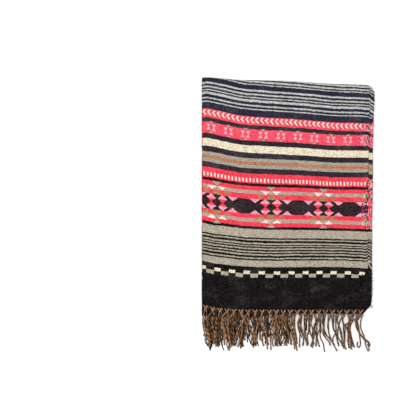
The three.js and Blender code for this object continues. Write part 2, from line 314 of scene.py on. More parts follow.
@dataclass
class FoldedCloth:
    """The whole sheet, doubled lengthwise and run through the pile, as a closed shell.

    Rims are the distances from a selvedge of the mesh's outermost lines, and gaps are what the even
    lines between them leave at either end.  Hems and inner shares are shares of the first or last run.
    """

    weft: WeftLines = field(default_factory=WeftLines)
    cell: float = 4.6
    coarse_cell: float = 11.0
    bend_steps: int = 8
    nose_steps: int = 12
    near_rim: tuple[float, ...] = (0.0, 1.5, 3.2, 5.4)
    far_rim: tuple[float, ...] = (5.0, 3.0, 1.4, 0.0)
    upper_gaps: Pair = (8.0, 2.0)
    under_gaps: Pair = (3.0, 7.5)
    under_lines: int = 42
    near_hem: tuple[float, ...] = (0.0, 0.003, 0.008)
    far_hem: tuple[float, ...] = (0.992, 0.997, 1.0)
    inner_shares: Pair = (0.015, 0.985)
    half_change: float = 6.0
    edge_round: float = 1.6
    edge_least: float = 0.12
    front_recess: float = 6.0
    front_end: float = 338.0
    uv_span: float = 2000.0
    droop: Curve = Curve((87, 166, 300, 386, 475), (-1.0, -0.4, 3.9, 2.8, 0.5))
    droop_across: Pair = (150, 340)
    waves: tuple[tuple[float, float, float], ...] = ((0.5, 47, 5), (0.35, 19, 9))
    stretch: Curve = Curve((-10, 30, 60, 150, 235, 300, 380, 400, 430, 455, 475),
                           (-4.2, -3.2, -2.6, -2.4, -0.9, -0.7, -0.2, 0.3, 2.2, 2.2, 1.0))
    selvedges: list[tuple[float, np.ndarray, np.ndarray]] = field(default_factory=list, init=False)

    def weft_stations(self) -> np.ndarray:
        """Distances from the upper selvedge of the mesh's lengthwise lines.

        Returns:
            The distances, from 0 to the cloth's width.
        """
        upper, bend = FOLD.flat_upper, FOLD.bend_length
        first, last = self.upper_gaps
        fine = np.linspace(first, upper - last, int(upper / self.cell))
        turn = upper + bend * np.linspace(0, 1, self.bend_steps + 1)
        first, last = self.under_gaps
        under = np.linspace(upper + bend + first, FOLD.width - last, self.under_lines)
        return np.concatenate([self.near_rim, fine, turn, under, FOLD.width - np.array(self.far_rim)])

    def doubled(self, weft: np.ndarray, offset: np.ndarray | float) -> tuple[np.ndarray, np.ndarray]:
        """Fold the width of the cloth in two.

        Args:
            weft: Distances from the upper half's selvedge.
            offset: Distance out from the middle of the cloth.

        Returns:
            The distance across and the height above the middle of the pair.
        """
        upper, bend = FOLD.flat_upper, FOLD.bend_length
        angle = np.clip((weft - upper) / bend, 0, 1) * math.pi
        radius = FOLD.pitch / 2 + offset
        across = FOLD.bend_centre - radius * np.sin(angle)
        across = across + np.maximum(upper - weft, 0) + np.maximum(weft - upper - bend, 0)
        return across, radius * np.cos(angle)

    def stations(self) -> list[tuple[str, float]]:
        """Stations along the path through the pile, as the run and the share of it.

        Returns:
            The stations from the near hem to the far one.
        """
        fine, coarse = (int(FOLD.nose_line / cell) for cell in (self.cell, self.coarse_cell))
        first, last = self.inner_shares
        turn = np.linspace(0, 1, self.nose_steps + 1)[1:]
        flat = np.linspace(0, 1, coarse + 1)[1:]
        shares = {
            "top": [*self.near_hem, *np.linspace(first, 1, fine)],
            "back": turn,
            "floor": flat,
            "front": turn,
            "third": flat,
            "inner": turn,
            "second": [*np.linspace(0, last, coarse)[1:], *self.far_hem],
        }
        return [(run, share) for run, row in shares.items() for share in row]

    def run_lengths(self, across: np.ndarray, lower: np.ndarray) -> dict[str, np.ndarray]:
        """Length of each run of the path at a distance across.

        Args:
            across: Distances across.
            lower: 1 on the lower half, 0 on the upper.

        Returns:
            The lengths by run, in the order in which the path takes them.
        """
        nose, hem = OUTLINE.nose(across), OUTLINE.hem(across)
        front = self.front_turn(across)
        turn = math.pi * FOLD.pitch
        return {
            "top": nose - hem,
            "back": np.full_like(across, 3 * turn),
            "floor": nose - front,
            "front": np.full_like(across, turn),
            "third": nose - front,
            "inner": np.full_like(across, turn),
            "second": nose - OUTLINE.far_hem(across, lower),
        }

    def front_turn(self, across: np.ndarray) -> np.ndarray:
        """Where the lowest four layers turn at the front."""
        return OUTLINE.hem(np.minimum(across, self.front_end)) + self.front_recess + 1.5 * FOLD.pitch

    def weave_distance(self, across: np.ndarray, lower: np.ndarray, path: np.ndarray) -> np.ndarray:
        """Turn distances along the path into distances from the near hem in the weave.

        Args:
            across: Distance across of each lengthwise line.
            lower: 1 where the line is on the lower half, 0 on the upper.
            path: Distances along the path, one row for each lengthwise line.

        Returns:
            The distances in the weave, in the same layout.
        """
        hem = OUTLINE.hem(across)
        runs = self.run_lengths(across, lower)
        total = sum(runs.values())
        middle = runs["top"] + runs["back"] + runs["floor"] + runs["front"] / 2
        inner = middle + runs["front"] / 2 + runs["third"] + runs["inner"] / 2
        knots_weave, knots_path = [np.zeros_like(across)], [np.zeros_like(across)]
        for at, rise in self.weft.rise(across):
            droop = self.droop(at) * smoothstep(across, *self.droop_across) * lower
            knots_weave.append(np.full_like(across, at))
            knots_path.append(at + rise - hem - droop)
        for at, where in ((FOLD.length / 2, middle), (FOLD.length * 0.75, inner), (FOLD.length, total)):
            knots_weave.append(np.full_like(across, at))
            knots_path.append(where)
        weave, along = np.array(knots_weave), np.array(knots_path)
        return np.array([Curve(along[:, i], weave[:, i])(path[i]) for i in range(len(across))])

    def lay(self, across: np.ndarray, lift: np.ndarray, lower: np.ndarray, run: str,
            share: float) -> tuple[np.ndarray, np.ndarray]:
        """Place points of the doubled cloth at a station of the path.

        Args:
            across: Distances across.
            lift: Heights above the middle of the pair.
            lower: 1 on the lower half, 0 on the upper.
            run: The run of the path.
            share: The share of the run.

        Returns:
            Distances along, and heights above the floor.
        """
        nose, hem = OUTLINE.nose(across), OUTLINE.hem(across)
        front, pitch, level = self.front_turn(across), FOLD.pitch, FOLD.level(LEVELS[run])
        if run == "top":
            return hem + (nose - hem) * share, level + lift
        if run == "floor":
            return nose + (front - nose) * share, level - lift
        if run == "third":
            return front + (nose - front) * share, level + lift
        if run == "second":
            return nose + (OUTLINE.far_hem(across, lower) - nose) * share, level - lift
        if run == "back":
            reach, angle, line = 3 * pitch + lift, math.pi * (0.5 - share), nose
        elif run == "inner":
            reach, angle, line = pitch - lift, math.pi * (share - 0.5), nose
        else:
            reach, angle, line = pitch + lift, -math.pi * (share + 0.5), front
        return line + reach * math.cos(angle), level + reach * math.sin(angle)

    def rounding(self, edge: np.ndarray | float) -> np.ndarray:
        """Share of the full thickness at a distance from the cloth's edge."""
        held = 1 - np.clip(edge / self.edge_round, 0, 1)
        return np.sqrt(np.clip(1 - held ** 2, self.edge_least, 1))

    def build(self, name: str, place: Placement) -> bpy.types.Object:
        """Build the closed shell, with its weave coordinates as a UV map.

        Args:
            name: Name of the piece.
            place: Where the pile stands.

        Returns:
            The finished piece.
        """
        weft = self.weft_stations()
        stations = self.stations()
        across, _ = self.doubled(weft, 0.0)
        change = self.half_change
        lower = smoothstep(weft, FOLD.upper_width - change, FOLD.upper_width + change)
        lengths = self.run_lengths(across, lower)
        begins, reached = {}, np.zeros_like(across)
        for run, length in lengths.items():
            begins[run] = reached
            reached = reached + length
        path = np.array([begins[run] + lengths[run] * share for run, share in stations]).T
        weave = self.weave_distance(across, lower, path)

        rim = self.rounding(np.minimum(weft, FOLD.width - weft))
        layers = []
        for side in (1, -1):
            rows = []
            for number, (run, share) in enumerate(stations):
                end = min(path[0, number], reached[0] - path[0, number])
                x, lift = self.doubled(weft, side * FOLD.half * rim * self.rounding(end))
                y, z = self.lay(x, lift, lower, run, share)
                x = self.drift(x, y, run, share)
                rows.append(place.points(x, y, z))
            layers.append(np.array(rows))
        middle = (layers[0] + layers[1]) / 2
        self.selvedges = [(0.0, middle[:, 0], weave[0]), (FOLD.width, middle[:, -1], weave[-1])]
        return self.closed(name, layers[0], layers[1], weft, weave.T)

    def drift(self, across: np.ndarray, along: np.ndarray, run: str, share: float) -> np.ndarray:
        """Shift a layer a little sideways, so that no two selvedges lie in line.

        Args:
            across: Distances across.
            along: Distances along.
            run: The run of the path.
            share: The share of the run.

        Returns:
            The shifted distances across.
        """
        before, after = (SHIFTS[name] for name in TURNS.get(run, (run, run)))
        aside = before + (after - before) * share
        wave = sum(size * np.sin(along / length + turn * aside) for size, length, turn in self.waves)
        return across + aside + (wave + self.stretch(along)) * (across / FOLD.folded_width) ** 3

    def closed(self, name: str, outer: np.ndarray, inner: np.ndarray, weft: np.ndarray,
               weave: np.ndarray) -> bpy.types.Object:
        """Join the two faces of the cloth into one closed shell.

        Args:
            name: Name of the piece.
            outer: Points of the outer face, by station and lengthwise line.
            inner: Points of the inner face, in the same layout.
            weft: Distance from the selvedge of each lengthwise line.
            weave: Distance from the near hem at each point.

        Returns:
            The shell.
        """
        points = np.concatenate([outer.reshape(-1, 3), inner.reshape(-1, 3)])
        number = np.arange(weave.size).reshape(weave.shape)
        faces: list[tuple[int, ...]] = []
        for grid, flip in ((number, False), (number + number.size, True)):
            a, b = grid[:-1, :-1].ravel(), grid[:-1, 1:].ravel()
            c, d = grid[1:, 1:].ravel(), grid[1:, :-1].ravel()
            quads = np.stack([a, b, c, d] if flip else [a, d, c, b], axis=1)
            faces += [tuple(q) for q in quads.tolist()]
        around = np.concatenate([number[0, :], number[1:, -1], number[-1, -2::-1], number[-2:0:-1, 0]])
        after = np.roll(around, -1)
        walls = np.stack([around, after, after + number.size, around + number.size], axis=1)
        faces += [tuple(q) for q in walls.tolist()]
        shell = mesh_object(name, points, faces)
        flat = np.stack([np.broadcast_to(weft, weave.shape), weave], axis=2).reshape(-1, 2)
        map_weave(shell.data, np.concatenate([flat, flat]), self.uv_span)
        shell.data.polygons.foreach_set("use_smooth", [True] * len(shell.data.polygons))
        return shell


# ------------------------------------------------------------------ how the pile lies


@dataclass(frozen=True)
class Crease:
    """A soft ridge or trough along a line, in plan."""

    start: Pair
    end: Pair
    width: float
    height: float
    begins: Pair = (-0.15, 0.35)
    ends: Pair = (0.65, 1.15)

    def __call__(self, across: np.ndarray, along: np.ndarray) -> np.ndarray:
        """Height of the crease.

        Args:
            across: Distances across.
            along: Distances along.

        Returns:
            The height at each point.
        """
        begin = np.array(self.start, float)
        line = np.array(self.end, float) - begin
        length = float(np.hypot(*line))
        line /= length
        right, up = across - begin[0], along - begin[1]
        share = (right * line[0] + up * line[1]) / length
        aside = right * line[1] - up * line[0]
        faded = smoothstep(share, *self.begins) * (1 - smoothstep(share, *self.ends))
        return self.height * np.exp(-((aside / self.width) ** 2)) * faded


CREASES: tuple[Crease, ...] = (
    Crease((4, 150), (46, 205), 9, 0.9),
    Crease((6, 215), (60, 236), 12, -0.7),
    Crease((2, 262), (40, 300), 10, 0.8),
    Crease((18, 330), (74, 352), 13, -0.6),
    Crease((8, 392), (58, 430), 12, 0.8),
    Crease((30, 18), (96, 64), 20, 0.6),
    Crease((70, 120), (188, 138), 26, 0.5),
    Crease((120, 300), (236, 282), 30, -0.5),
    Crease((196, 40), (292, 52), 24, -0.4),
    Crease((214, 196), (318, 176), 22, 0.5),
    Crease((150, 404), (262, 420), 26, 0.5),
    Crease((300, 92), (343, 118), 10, 0.9),
    Crease((306, 128), (345, 146), 9, -0.7),
    Crease((296, 236), (345, 226), 12, 0.7),
    Crease((304, 330), (345, 300), 11, -0.7),
    Crease((290, 400), (346, 372), 12, 0.9),
    Crease((318, 452), (346, 418), 9, 0.7),
)


@dataclass(frozen=True)
class Placement:
    """Where the pile stands, and how it settles."""

    centre: Pair
    spring_back: float = 0.08
    spring_fold: float = 0.055
    spring_width: float = 60.0
    settled_fold: float = 14.0
    settled_back: Pair = (-6, 22)
    least_relief: float = 0.35
    spread: float = 3.1
    spread_at: float = 175.0
    spread_reach: float = 60.0

    @classmethod
    def on(cls, node: str) -> Placement:
        """Read the place from the node that holds the top fold.

        Args:
            node: The node's name.

        Returns:
            The place.
        """
        low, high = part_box(node)
        across = np.linspace(0, OUTLINE.across[-1], 400)
        reach = float(OUTLINE.nose(across).max()) + FOLD.pile_height / 2
        return cls((-low.x / MM, reach - high.y / MM))

    def points(self, across: np.ndarray, along: np.ndarray, height: np.ndarray) -> np.ndarray:
        """Settle points of the pile and place them.

        Args:
            across: Distances across.
            along: Distances along.
            height: Heights above the floor in an even pile.

        Returns:
            The points, in metres.
        """
        near_fold = 1 - smoothstep(across, 0, self.spring_width)
        from_back = OUTLINE.nose(across) - along
        near_back = 1 - smoothstep(from_back, 0, self.spring_width)
        lift = 1 + np.maximum(self.spring_fold * near_fold, self.spring_back * near_back)
        relief = sum(crease(across, along) for crease in CREASES)
        inside = smoothstep(across, 0, self.settled_fold) * smoothstep(from_back, *self.settled_back)
        relief = relief * (self.least_relief + (1 - self.least_relief) * inside)
        height = height * lift * (1 + relief / FOLD.pile_height)
        across = across + self.spread * np.exp(-(((across - self.spread_at) / self.spread_reach) ** 2))
        x = (across - self.centre[0]) * MM
        y = (along - self.centre[1]) * MM
        return np.stack(np.broadcast_arrays(x, y, height * MM), axis=-1)


# ------------------------------------------------------------------ the fringe

# Where the cords of the fringe run, from the cloth to their tips: distances across, and distances
# below the nominal front edge.
STRANDS: tuple[tuple[tuple[int, int], ...], ...] = (
    ((6, -4), (2, 9), (1, 23), (2, 38), (6, 54), (8, 71)),
    ((19, 4), (13, 11), (6, 20), (2, 27), (7, 40), (12, 52), (14, 75)),
    ((9, 11), (10, 29), (12, 40), (14, 55), (17, 73)),
    ((17, 10), (14, 22), (15, 35), (19, 50), (22, 64), (24, 74)),
    ((24, 11), (20, 26), (23, 40), (27, 55), (30, 75)),
    ((36, 4), (34, 11), (30, 16), (29, 26), (28, 40), (25, 55), (24, 71)),
    ((37, 18), (34, 35), (37, 45), (38, 58), (39, 67)),
    ((50, 2), (43, 9), (40, 18), (41, 30), (45, 45), (46, 65)),
    ((51, 13), (44, 21), (45, 32), (50, 45), (53, 59), (54, 69)),
    ((65, 5), (59, 12), (54, 20), (53, 35), (55, 50), (57, 64), (60, 79)),
    ((60, 15), (60, 35), (60, 55), (62, 65), (63, 75)),
    ((66, 16), (67, 30), (64, 45), (65, 64), (67, 78)),
    ((78, 19), (71, 24), (68, 35), (67, 45), (70, 60), (71, 73)),
    ((81, 6), (84, 22), (80, 30), (73, 45), (69, 59), (70, 75)),
    ((80, 27), (74, 36), (76, 48), (80, 60), (84, 71), (87, 80)),
    ((87, 8), (86, 16), (89, 26), (93, 35), (90, 50), (86, 65)),
    ((98, 10), (94, 20), (98, 32), (100, 42), (105, 52), (102, 69), (105, 78)),
    ((111, 7), (110, 16), (115, 30), (111, 45), (108, 49), (109, 69)),
    ((111, 5), (110, 15), (115, 26), (113, 39), (111, 52), (113, 70)),
    ((115, 13), (117, 26), (123, 35), (120, 47), (121, 68)),
    ((127, 7), (122, 22), (127, 32), (132, 49), (134, 60), (136, 85)),
    ((138, 16), (137, 32), (134, 47), (131, 61), (130, 69)),
    ((144, 5), (145, 22), (143, 32), (148, 46), (143, 60), (143, 86)),
    ((148, 9), (154, 20), (156, 32), (158, 47), (162, 60), (165, 72)),
    ((159, 7), (154, 18), (150, 30), (154, 46), (157, 64), (156, 79)),
    ((162, 9), (165, 22), (167, 32), (165, 42), (171, 56), (176, 76)),
    ((172, 6), (169, 20), (174, 35), (177, 47), (181, 58), (186, 75)),
    ((179, 10), (179, 26), (184, 39), (188, 54), (191, 68), (192, 83)),
    ((190, 7), (189, 22), (191, 39), (193, 56), (195, 72), (198, 87)),
    ((199, 16), (198, 29), (203, 42), (203, 58), (203, 83)),
    ((203, 7), (207, 18), (203, 29), (207, 43), (211, 60), (209, 78)),
    ((215, 7), (215, 23), (213, 39), (214, 56), (219, 76)),
    ((221, 13), (222, 30), (222, 46), (219, 56), (221, 77)),
    ((225, 13), (224, 21), (225, 30), (230, 40), (233, 51), (230, 64), (226, 79)),
    ((236, 16), (236, 29), (233, 43), (231, 56), (232, 78)),
    ((243, 13), (238, 30), (238, 47), (237, 82)),
    ((241, 15), (238, 34), (237, 54), (242, 69), (245, 81)),
    ((246, 2), (244, 18), (245, 43), (247, 60), (252, 72), (255, 90)),
    ((253, 9), (253, 29), (252, 43), (255, 51), (262, 58), (269, 67), (275, 75)),
    ((254, 13), (253, 31), (252, 52), (264, 68), (266, 76)),
    ((261, 2), (261, 30), (263, 47), (267, 62), (274, 75), (281, 88)),
    ((273, 16), (272, 26), (273, 40), (278, 51), (281, 64), (285, 80)),
    ((278, 13), (278, 30), (279, 46), (277, 52), (272, 60), (272, 69)),
    ((280, 20), (284, 33), (289, 47), (291, 60), (292, 74)),
    ((281, 17), (283, 38), (282, 56), (287, 66), (293, 76), (296, 85)),
    ((294, 10), (292, 22), (295, 34), (297, 47), (297, 62), (296, 75), (300, 85)),
    ((308, 7), (305, 22), (303, 35), (305, 47), (303, 64), (307, 83)),
    ((312, 9), (306, 25), (305, 42), (307, 58), (310, 84)),
    ((314, 13), (310, 25), (307, 40), (310, 58), (313, 82)),
    ((311, 15), (308, 29), (307, 44), (312, 63), (319, 84)),
    ((317, 9), (312, 18), (308, 24), (303, 29), (298, 32), (302, 46), (304, 67), (305, 81)),
    ((321, 7), (318, 22), (320, 32), (324, 46), (332, 56), (338, 64), (348, 70)),
    ((326, 13), (323, 24), (325, 35), (327, 47), (328, 60), (330, 72), (327, 80), (323, 77), (325, 64)),
    ((331, 14), (329, 26), (330, 39), (335, 51), (338, 61), (340, 73), (345, 87), (348, 83), (344, 71)),
)


@dataclass(frozen=True)
class FringeLayer:
    """The fringe of one layer of cloth.

    A burden says how badly a guiding line that begins high or low suits the layer.  The tone is that
    of its cords, made lower on each lower layer as painted shade; the covered shade darkens them further
    as painted shade where other cords lie on them, and where it is negative it is a painted light.
    """

    node: str
    layer: int
    shift: float
    seed: int
    shorter: float
    high_burden: float
    low_burden: float
    tone: float
    covered_shade: float


# The tone falls from layer to layer as painted shade on the lower layers.  The last number is painted shade
# where other cords lie on a layer's cords near the long fold; on the top layer it is negative, a painted
# light.
FRINGES: tuple[FringeLayer, ...] = (
    FringeLayer("fringe_near_upper", 1, 0.14, 11, 0.0, 0, 16, 1.00, -0.38),
    FringeLayer("fringe_near_lower", 2, 0.26, 23, 1.5, 7, 9, 0.91, -0.08),
    FringeLayer("fringe_far_upper", 3, 0.64, 37, 2.5, 14, 0, 0.82, 0.54),
    FringeLayer("fringe_far_lower", 4, 0.88, 53, 4.0, 18, 2, 0.73, 0.74),
)


def along_line(points: np.ndarray, step: float, pieces_each: int = 12) -> np.ndarray:
    """Read a smooth line through points at even steps.

    Args:
        points: The points, one to a row.
        step: Distance between the points that come back.
        pieces_each: In how many straight pieces the line between two points is measured.

    Returns:
        The points along the line.
    """
    pads = np.vstack([2 * points[0] - points[1], points, 2 * points[-1] - points[-2]])
    pieces = []
    for a, b, c, d in zip(pads[:-3], pads[1:-2], pads[2:-1], pads[3:]):
        t = np.linspace(0, 1, pieces_each, endpoint=False)[:, None]
        pieces.append(0.5 * (2 * b + (c - a) * t + (2 * a - 5 * b + 4 * c - d) * t ** 2
                             + (3 * b - a - 3 * c + d) * t ** 3))
    dense = np.vstack([*pieces, points[-1:]])
    reach = np.concatenate([[0], np.cumsum(np.hypot(*np.diff(dense, axis=0).T))])
    at = np.arange(0, reach[-1], step)
    return np.stack([np.interp(at, reach, column) for column in dense.T], axis=1)


def softened(values: np.ndarray, reach: int) -> np.ndarray:
    """Average each value with its neighbours.

    Args:
        values: The values.
        reach: How many neighbours count on each side.

    Returns:
        The averages.
    """
    weights = np.hanning(2 * reach + 3)[1:-1]
    padded = np.pad(values, reach, mode="edge")
    return np.convolve(padded, weights / weights.sum(), mode="valid")


@dataclass
class Heap:
    """The height of what already lies in front of the cloth, on a fine grid."""

    cell: float = 0.8
    firmness: float = 0.30
    ceiling: float = 11.5
    footprint: float = 0.8
    smoothing: int = 3
    cell_margin: float = 0.4
    low: Pair = (-25.0, -125.0)
    size: tuple[int, int] = (520, 210)
    height: np.ndarray = field(init=False)

    def __post_init__(self) -> None:
        """Start with the bare floor."""
        self.height = np.zeros(self.size)

    def cells(self, points: np.ndarray, reach: float) -> tuple[np.ndarray, np.ndarray]:
        """Cells round each point.

        Args:
            points: Points in plan.
            reach: How far round each point to look.

        Returns:
            Rows and columns of the cells, one row for each point.
        """
        count = int(round(reach / self.cell))
        offsets = np.array([(i, j) for i in range(-count, count + 1) for j in range(-count, count + 1)
                            if i * i + j * j <= (count + self.cell_margin) ** 2])
        base = np.round((points - np.array(self.low)) / self.cell).astype(int)
        both = base[:, None, :] + offsets[None]
        rows = np.clip(both[..., 0], 0, self.size[0] - 1)
        return rows, np.clip(both[..., 1], 0, self.size[1] - 1)

    def lay(self, points: np.ndarray, radius: float, fall: np.ndarray) -> np.ndarray:
        """Lay a cord on the heap, and add it to the heap.

        Args:
            points: The cord's points in plan, at even steps.
            radius: Its radius.
            fall: Least heights of its centre, where it hangs from the cloth.

        Returns:
            The heights of its centre.
        """
        ground = self.height[self.cells(points, radius)].max(axis=1) + radius
        reach = self.smoothing
        lifted = np.array([ground[max(i - reach, 0):i + reach + 1].max() for i in range(len(ground))])
        height = np.maximum(np.minimum(softened(lifted, reach), self.ceiling), fall)
        rows, columns = self.cells(points, radius * self.footprint)
        top = np.broadcast_to((height + radius * self.firmness)[:, None], rows.shape)
        np.maximum.at(self.height, (rows, columns), top)
        return height


@dataclass(frozen=True)
class LoosePlies:
    """Single plies that have come loose, most of them near the long fold."""

    count: int = 64
    radius: float = 1.05
    seed_step: int = 1000
    first_root: float = 3.0
    root_span: float = 200.0
    outlier_every: int = 7
    outlier_roots: Pair = (135, 250)
    least_length: float = 44.0
    further_length: float = 31.0
    lean: float = 5.0
    bend: Pair = (2.5, 4.5)
    wave: Pair = (7, 13)
    phase: Pair = (0, 6)
    free_from: float = 20.0
    fold_line: Pair = (-1.0, 0.03)
    drop: Pair = (1.0, 34.0)
    # The plies are near-black, darker than any cord, so that they also stand as painted shade between the
    # cords.
    tone: Pair = (0.0, 0.08)

    def lay(self, row: FringeLayer, fringe: Fringe) -> list[Strand]:
        """Lay the plies of one layer on the heap.

        Args:
            row: The layer.
            fringe: The fringe, with its heap.

        Returns:
            The strands and their tones.
        """
        chance = np.random.default_rng(row.seed + self.seed_step)
        made = []
        for number in range(self.count if row.layer > 1 else 0):
            root = self.first_root + self.root_span * (1 - chance.random() ** 0.5)
            if number % self.outlier_every == 0:
                root = chance.uniform(*self.outlier_roots)
            reach = self.least_length + self.further_length * chance.random() ** 2
            down = np.arange(0, reach, fringe.step)
            lean = chance.normal(0, self.lean)
            size = chance.uniform(*self.bend)
            bend = size * np.sin(down / chance.uniform(*self.wave) + chance.uniform(*self.phase))
            aside = (lean * down / reach + bend) * smoothstep(down, 0, self.free_from)
            across = np.maximum(root + aside, self.fold_line[0] + self.fold_line[1] * down)
            line = np.column_stack([across, fringe.hem(row, root) - down])
            fall = FOLD.level(FOLD.layers - row.layer) * (1 - smoothstep(down, *self.drop))
            height = fringe.heap.lay(line, self.radius, fall)
            strand = np.column_stack([line, height, np.full(len(down), self.radius)])
            made.append((strand, chance.uniform(*self.tone)))
        return made


@dataclass(frozen=True)
class RootHairs:
    """Short single warp ends in the fan at each cord's root."""

    radius: float = 0.34
    sunk: float = 0.5
    spread: tuple[float, ...] = (-0.5, -0.05, 0.45)
    closing: float = 0.9
    reach: float = 1.1
    tone: Pair = (0.0, 0.04)

    def lay(self, centre: np.ndarray, reach: np.ndarray, join: float, half_width: float,
            chance: np.random.Generator) -> list[Strand]:
        """Lay the hairs of one cord.

        Args:
            centre: The cord's centre line.
            reach: Distances along it.
            join: How far from the cloth its plies come together.
            half_width: Half the width of its fan.
            chance: Source of the small differences.

        Returns:
            The strands and their tones.
        """
        short = int(join * self.reach / reach[1])
        made = []
        for share in self.spread:
            open_to = share * half_width * (1 - np.clip(reach[:short] / join, 0, 1)) ** self.closing
            points = centre[:short] + np.outer(open_to, (1.0, 0.0, 0.0))
            points[:, 2] = np.maximum(points[:, 2] - self.sunk, self.radius)
            strand = np.column_stack([points, np.full(short, self.radius)])
            made.append((strand, chance.uniform(*self.tone)))
        return made


@dataclass
class Fringe:
    """Cords of two twisted plies, which part into a fan of warp ends where they leave the cloth.

    Most pairs of numbers are the limits of a random draw, or of a soft change across or along.
    """

    per_layer: int = 23
    first_root: float = 4.5
    last_root: float = 331.0
    hem_end: float = 336.0
    ply_radius: float = 0.92
    ply_offset: float = 0.80
    clearance: float = 0.05
    turn: float = 9.5
    fan_half_width: Pair = (3.9, 5.3)
    fan_closing: float = 1.1
    join: Pair = (5.6, 9.0)
    joining: Pair = (0.6, 1.3)
    past_join: float = 3.0
    step: float = 1.1
    sides: int = 6
    high_start: float = 12.0
    # Across which the painted shade of covered cords fades out.
    covered_shade: Pair = (110, 220)
    parted: Pair = (110, 290)
    parted_dull: float = 0.42
    parted_thin: float = 0.06
    tip: float = 7.0
    tip_open: float = 0.9
    tip_thin: float = 0.05
    root_thin: float = 0.25
    dark_tone: Pair = (0.2, 0.5)
    pale_tone: Pair = (0.75, 1.25)
    drop_from: float = 1.0
    drop: float = 30.0
    drop_step: float = 4.0
    depths: tuple[float, float, int] = (-14, -78, 8)
    bunched: Pair = (120, 230)
    shares: Pair = (0.25, 0.65)
    scatter: Pair = (1.8, 1.2)
    sway: float = 1.4
    sway_length: Pair = (5, 9)
    sway_phase: Pair = (0, 6)
    root_pull: float = 0.14
    guided_from: float = 22.0
    wobble: float = 0.25
    trimmed: Pair = (0.2, 1.8)
    heap: Heap = field(default_factory=Heap)
    loose: LoosePlies = LoosePlies()
    hairs: RootHairs = RootHairs()

    def root(self, row: FringeLayer, number: int) -> float:
        """Distance across of a cord's root."""
        pitch = (FOLD.upper_width - 2 * self.first_root) / self.per_layer
        return min(self.first_root + pitch * (number + row.shift), self.last_root)

    def hem(self, row: FringeLayer, across: float) -> float:
        """Find the hem of a layer, where it carries cords.

        Args:
            row: The layer.
            across: Distance across.

        Returns:
            Distance along.
        """
        held = min(across, self.hem_end)
        if row.layer < 3:
            return float(OUTLINE.hem(held))
        return float(OUTLINE.far_hem(held, 1.0 if row.layer == 3 else 0.0))

    def share_out(self) -> dict[tuple[str, int], int]:
        """Give each guiding line to the cord that suits it best.

        Returns:
            The number of the line, for those cords that get one.
        """
        fits = []
        for row in FRINGES:
            for number in range(self.per_layer):
                root = self.root(row, number)
                for line, strand in enumerate(STRANDS):
                    burden = row.high_burden if strand[0][1] < self.high_start else row.low_burden
                    fits.append((abs(strand[0][0] - root) + burden, row.node, number, line))
        given: dict[tuple[str, int], int] = {}
        for _, node, number, line in sorted(fits):
            if (node, number) not in given and line not in given.values():
                given[(node, number)] = line
        return given

    def guide(self, row: FringeLayer, number: int, given: dict[tuple[str, int], int],
              chance: np.random.Generator) -> np.ndarray:
        """Find the line that one cord follows, as distances across and along.

        Args:
            row: The cord's layer.
            number: Which cord of the layer it is.
            given: The guiding lines that cords have.
            chance: Source of the small differences.

        Returns:
            Points from the cloth to the tip.
        """
        line = given.get((row.node, number))
        if line is not None:
            return np.array(STRANDS[line], float) * (1, -1)
        root = self.root(row, number)
        plain = [np.array(strand, float) * (1, -1) for strand in STRANDS
                 if np.all(np.diff([point[1] for point in strand]) > 0)]
        plain.sort(key=lambda points: abs(points[0, 0] + points[1, 0] - 2 * root))
        near, other = plain[0], plain[int(chance.integers(1, 3))]
        depth = np.linspace(*self.depths)
        paths = [np.interp(-depth, -points[:, 1], points[:, 0]) for points in (near, other)]
        bunched = float(smoothstep(root, *self.bunched))
        share = chance.uniform(*self.shares) * (1 - bunched)
        scatter = chance.normal(0, self.scatter[0] - self.scatter[1] * bunched)
        wave = np.sin(depth / chance.uniform(*self.sway_length) + chance.uniform(*self.sway_phase))
        across = paths[0] * (1 - share) + paths[1] * share + scatter + (self.sway - bunched) * wave
        return np.column_stack([across, depth])

    def route(self, row: FringeLayer, number: int, guide: np.ndarray, join: float,
              chance: np.random.Generator) -> np.ndarray:
        """Choose the way that one cord takes in plan.

        Args:
            row: The cord's layer.
            number: Which cord of the layer it is.
            guide: The line that it follows.
            join: How far from the cloth its plies come together.
            chance: Source of the small differences.

        Returns:
            Points at even steps, as distances across and along.
        """
        root = self.root(row, number)
        start = np.array([root, self.hem(row, root)])
        points = [start, start + [self.root_pull * (guide[0, 0] - root), -join]]
        for across, along in guide:
            sunk = start[1] - along
            if sunk < join + self.past_join and len(points) < 3:
                continue
            share = min(1.0, sunk / self.guided_from)
            points.append([root + (across - root) * share + chance.normal(0, self.wobble), along])
        line = along_line(np.array(points), self.step)
        cut = int((row.shorter * chance.uniform(*self.trimmed)) / self.step)
        return line[: len(line) - cut]

    def plies(self, row: FringeLayer, line: np.ndarray, height: np.ndarray, join: float,
              chance: np.random.Generator) -> list[Strand]:
        """Twist a dark and a pale ply round a cord's centre line, and fan its roots out.

        Args:
            row: The cord's layer.
            line: The centre line in plan.
            height: Its heights.
            join: How far from the cloth the plies come together.
            chance: Source of the small differences.

        Returns:
            The centre line of each strand, with its radius in a fourth column, and its tone.
        """
        centre = np.column_stack([line, height])
        tangent = np.gradient(centre, axis=0)
        tangent /= np.linalg.norm(tangent, axis=1)[:, None]
        side = np.cross(tangent, (0.0, 0.0, 1.0))
        side /= np.linalg.norm(side, axis=1)[:, None]
        up = np.cross(side, tangent)
        reach = np.arange(len(line)) * self.step
        joined = smoothstep(reach, join * self.joining[0], join * self.joining[1])
        tip = smoothstep(reach, reach[-1] - self.tip, reach[-1])
        phase = chance.uniform(0, math.tau) + math.tau * np.maximum(reach - join, 0) / self.turn
        half_width = chance.uniform(*self.fan_half_width)
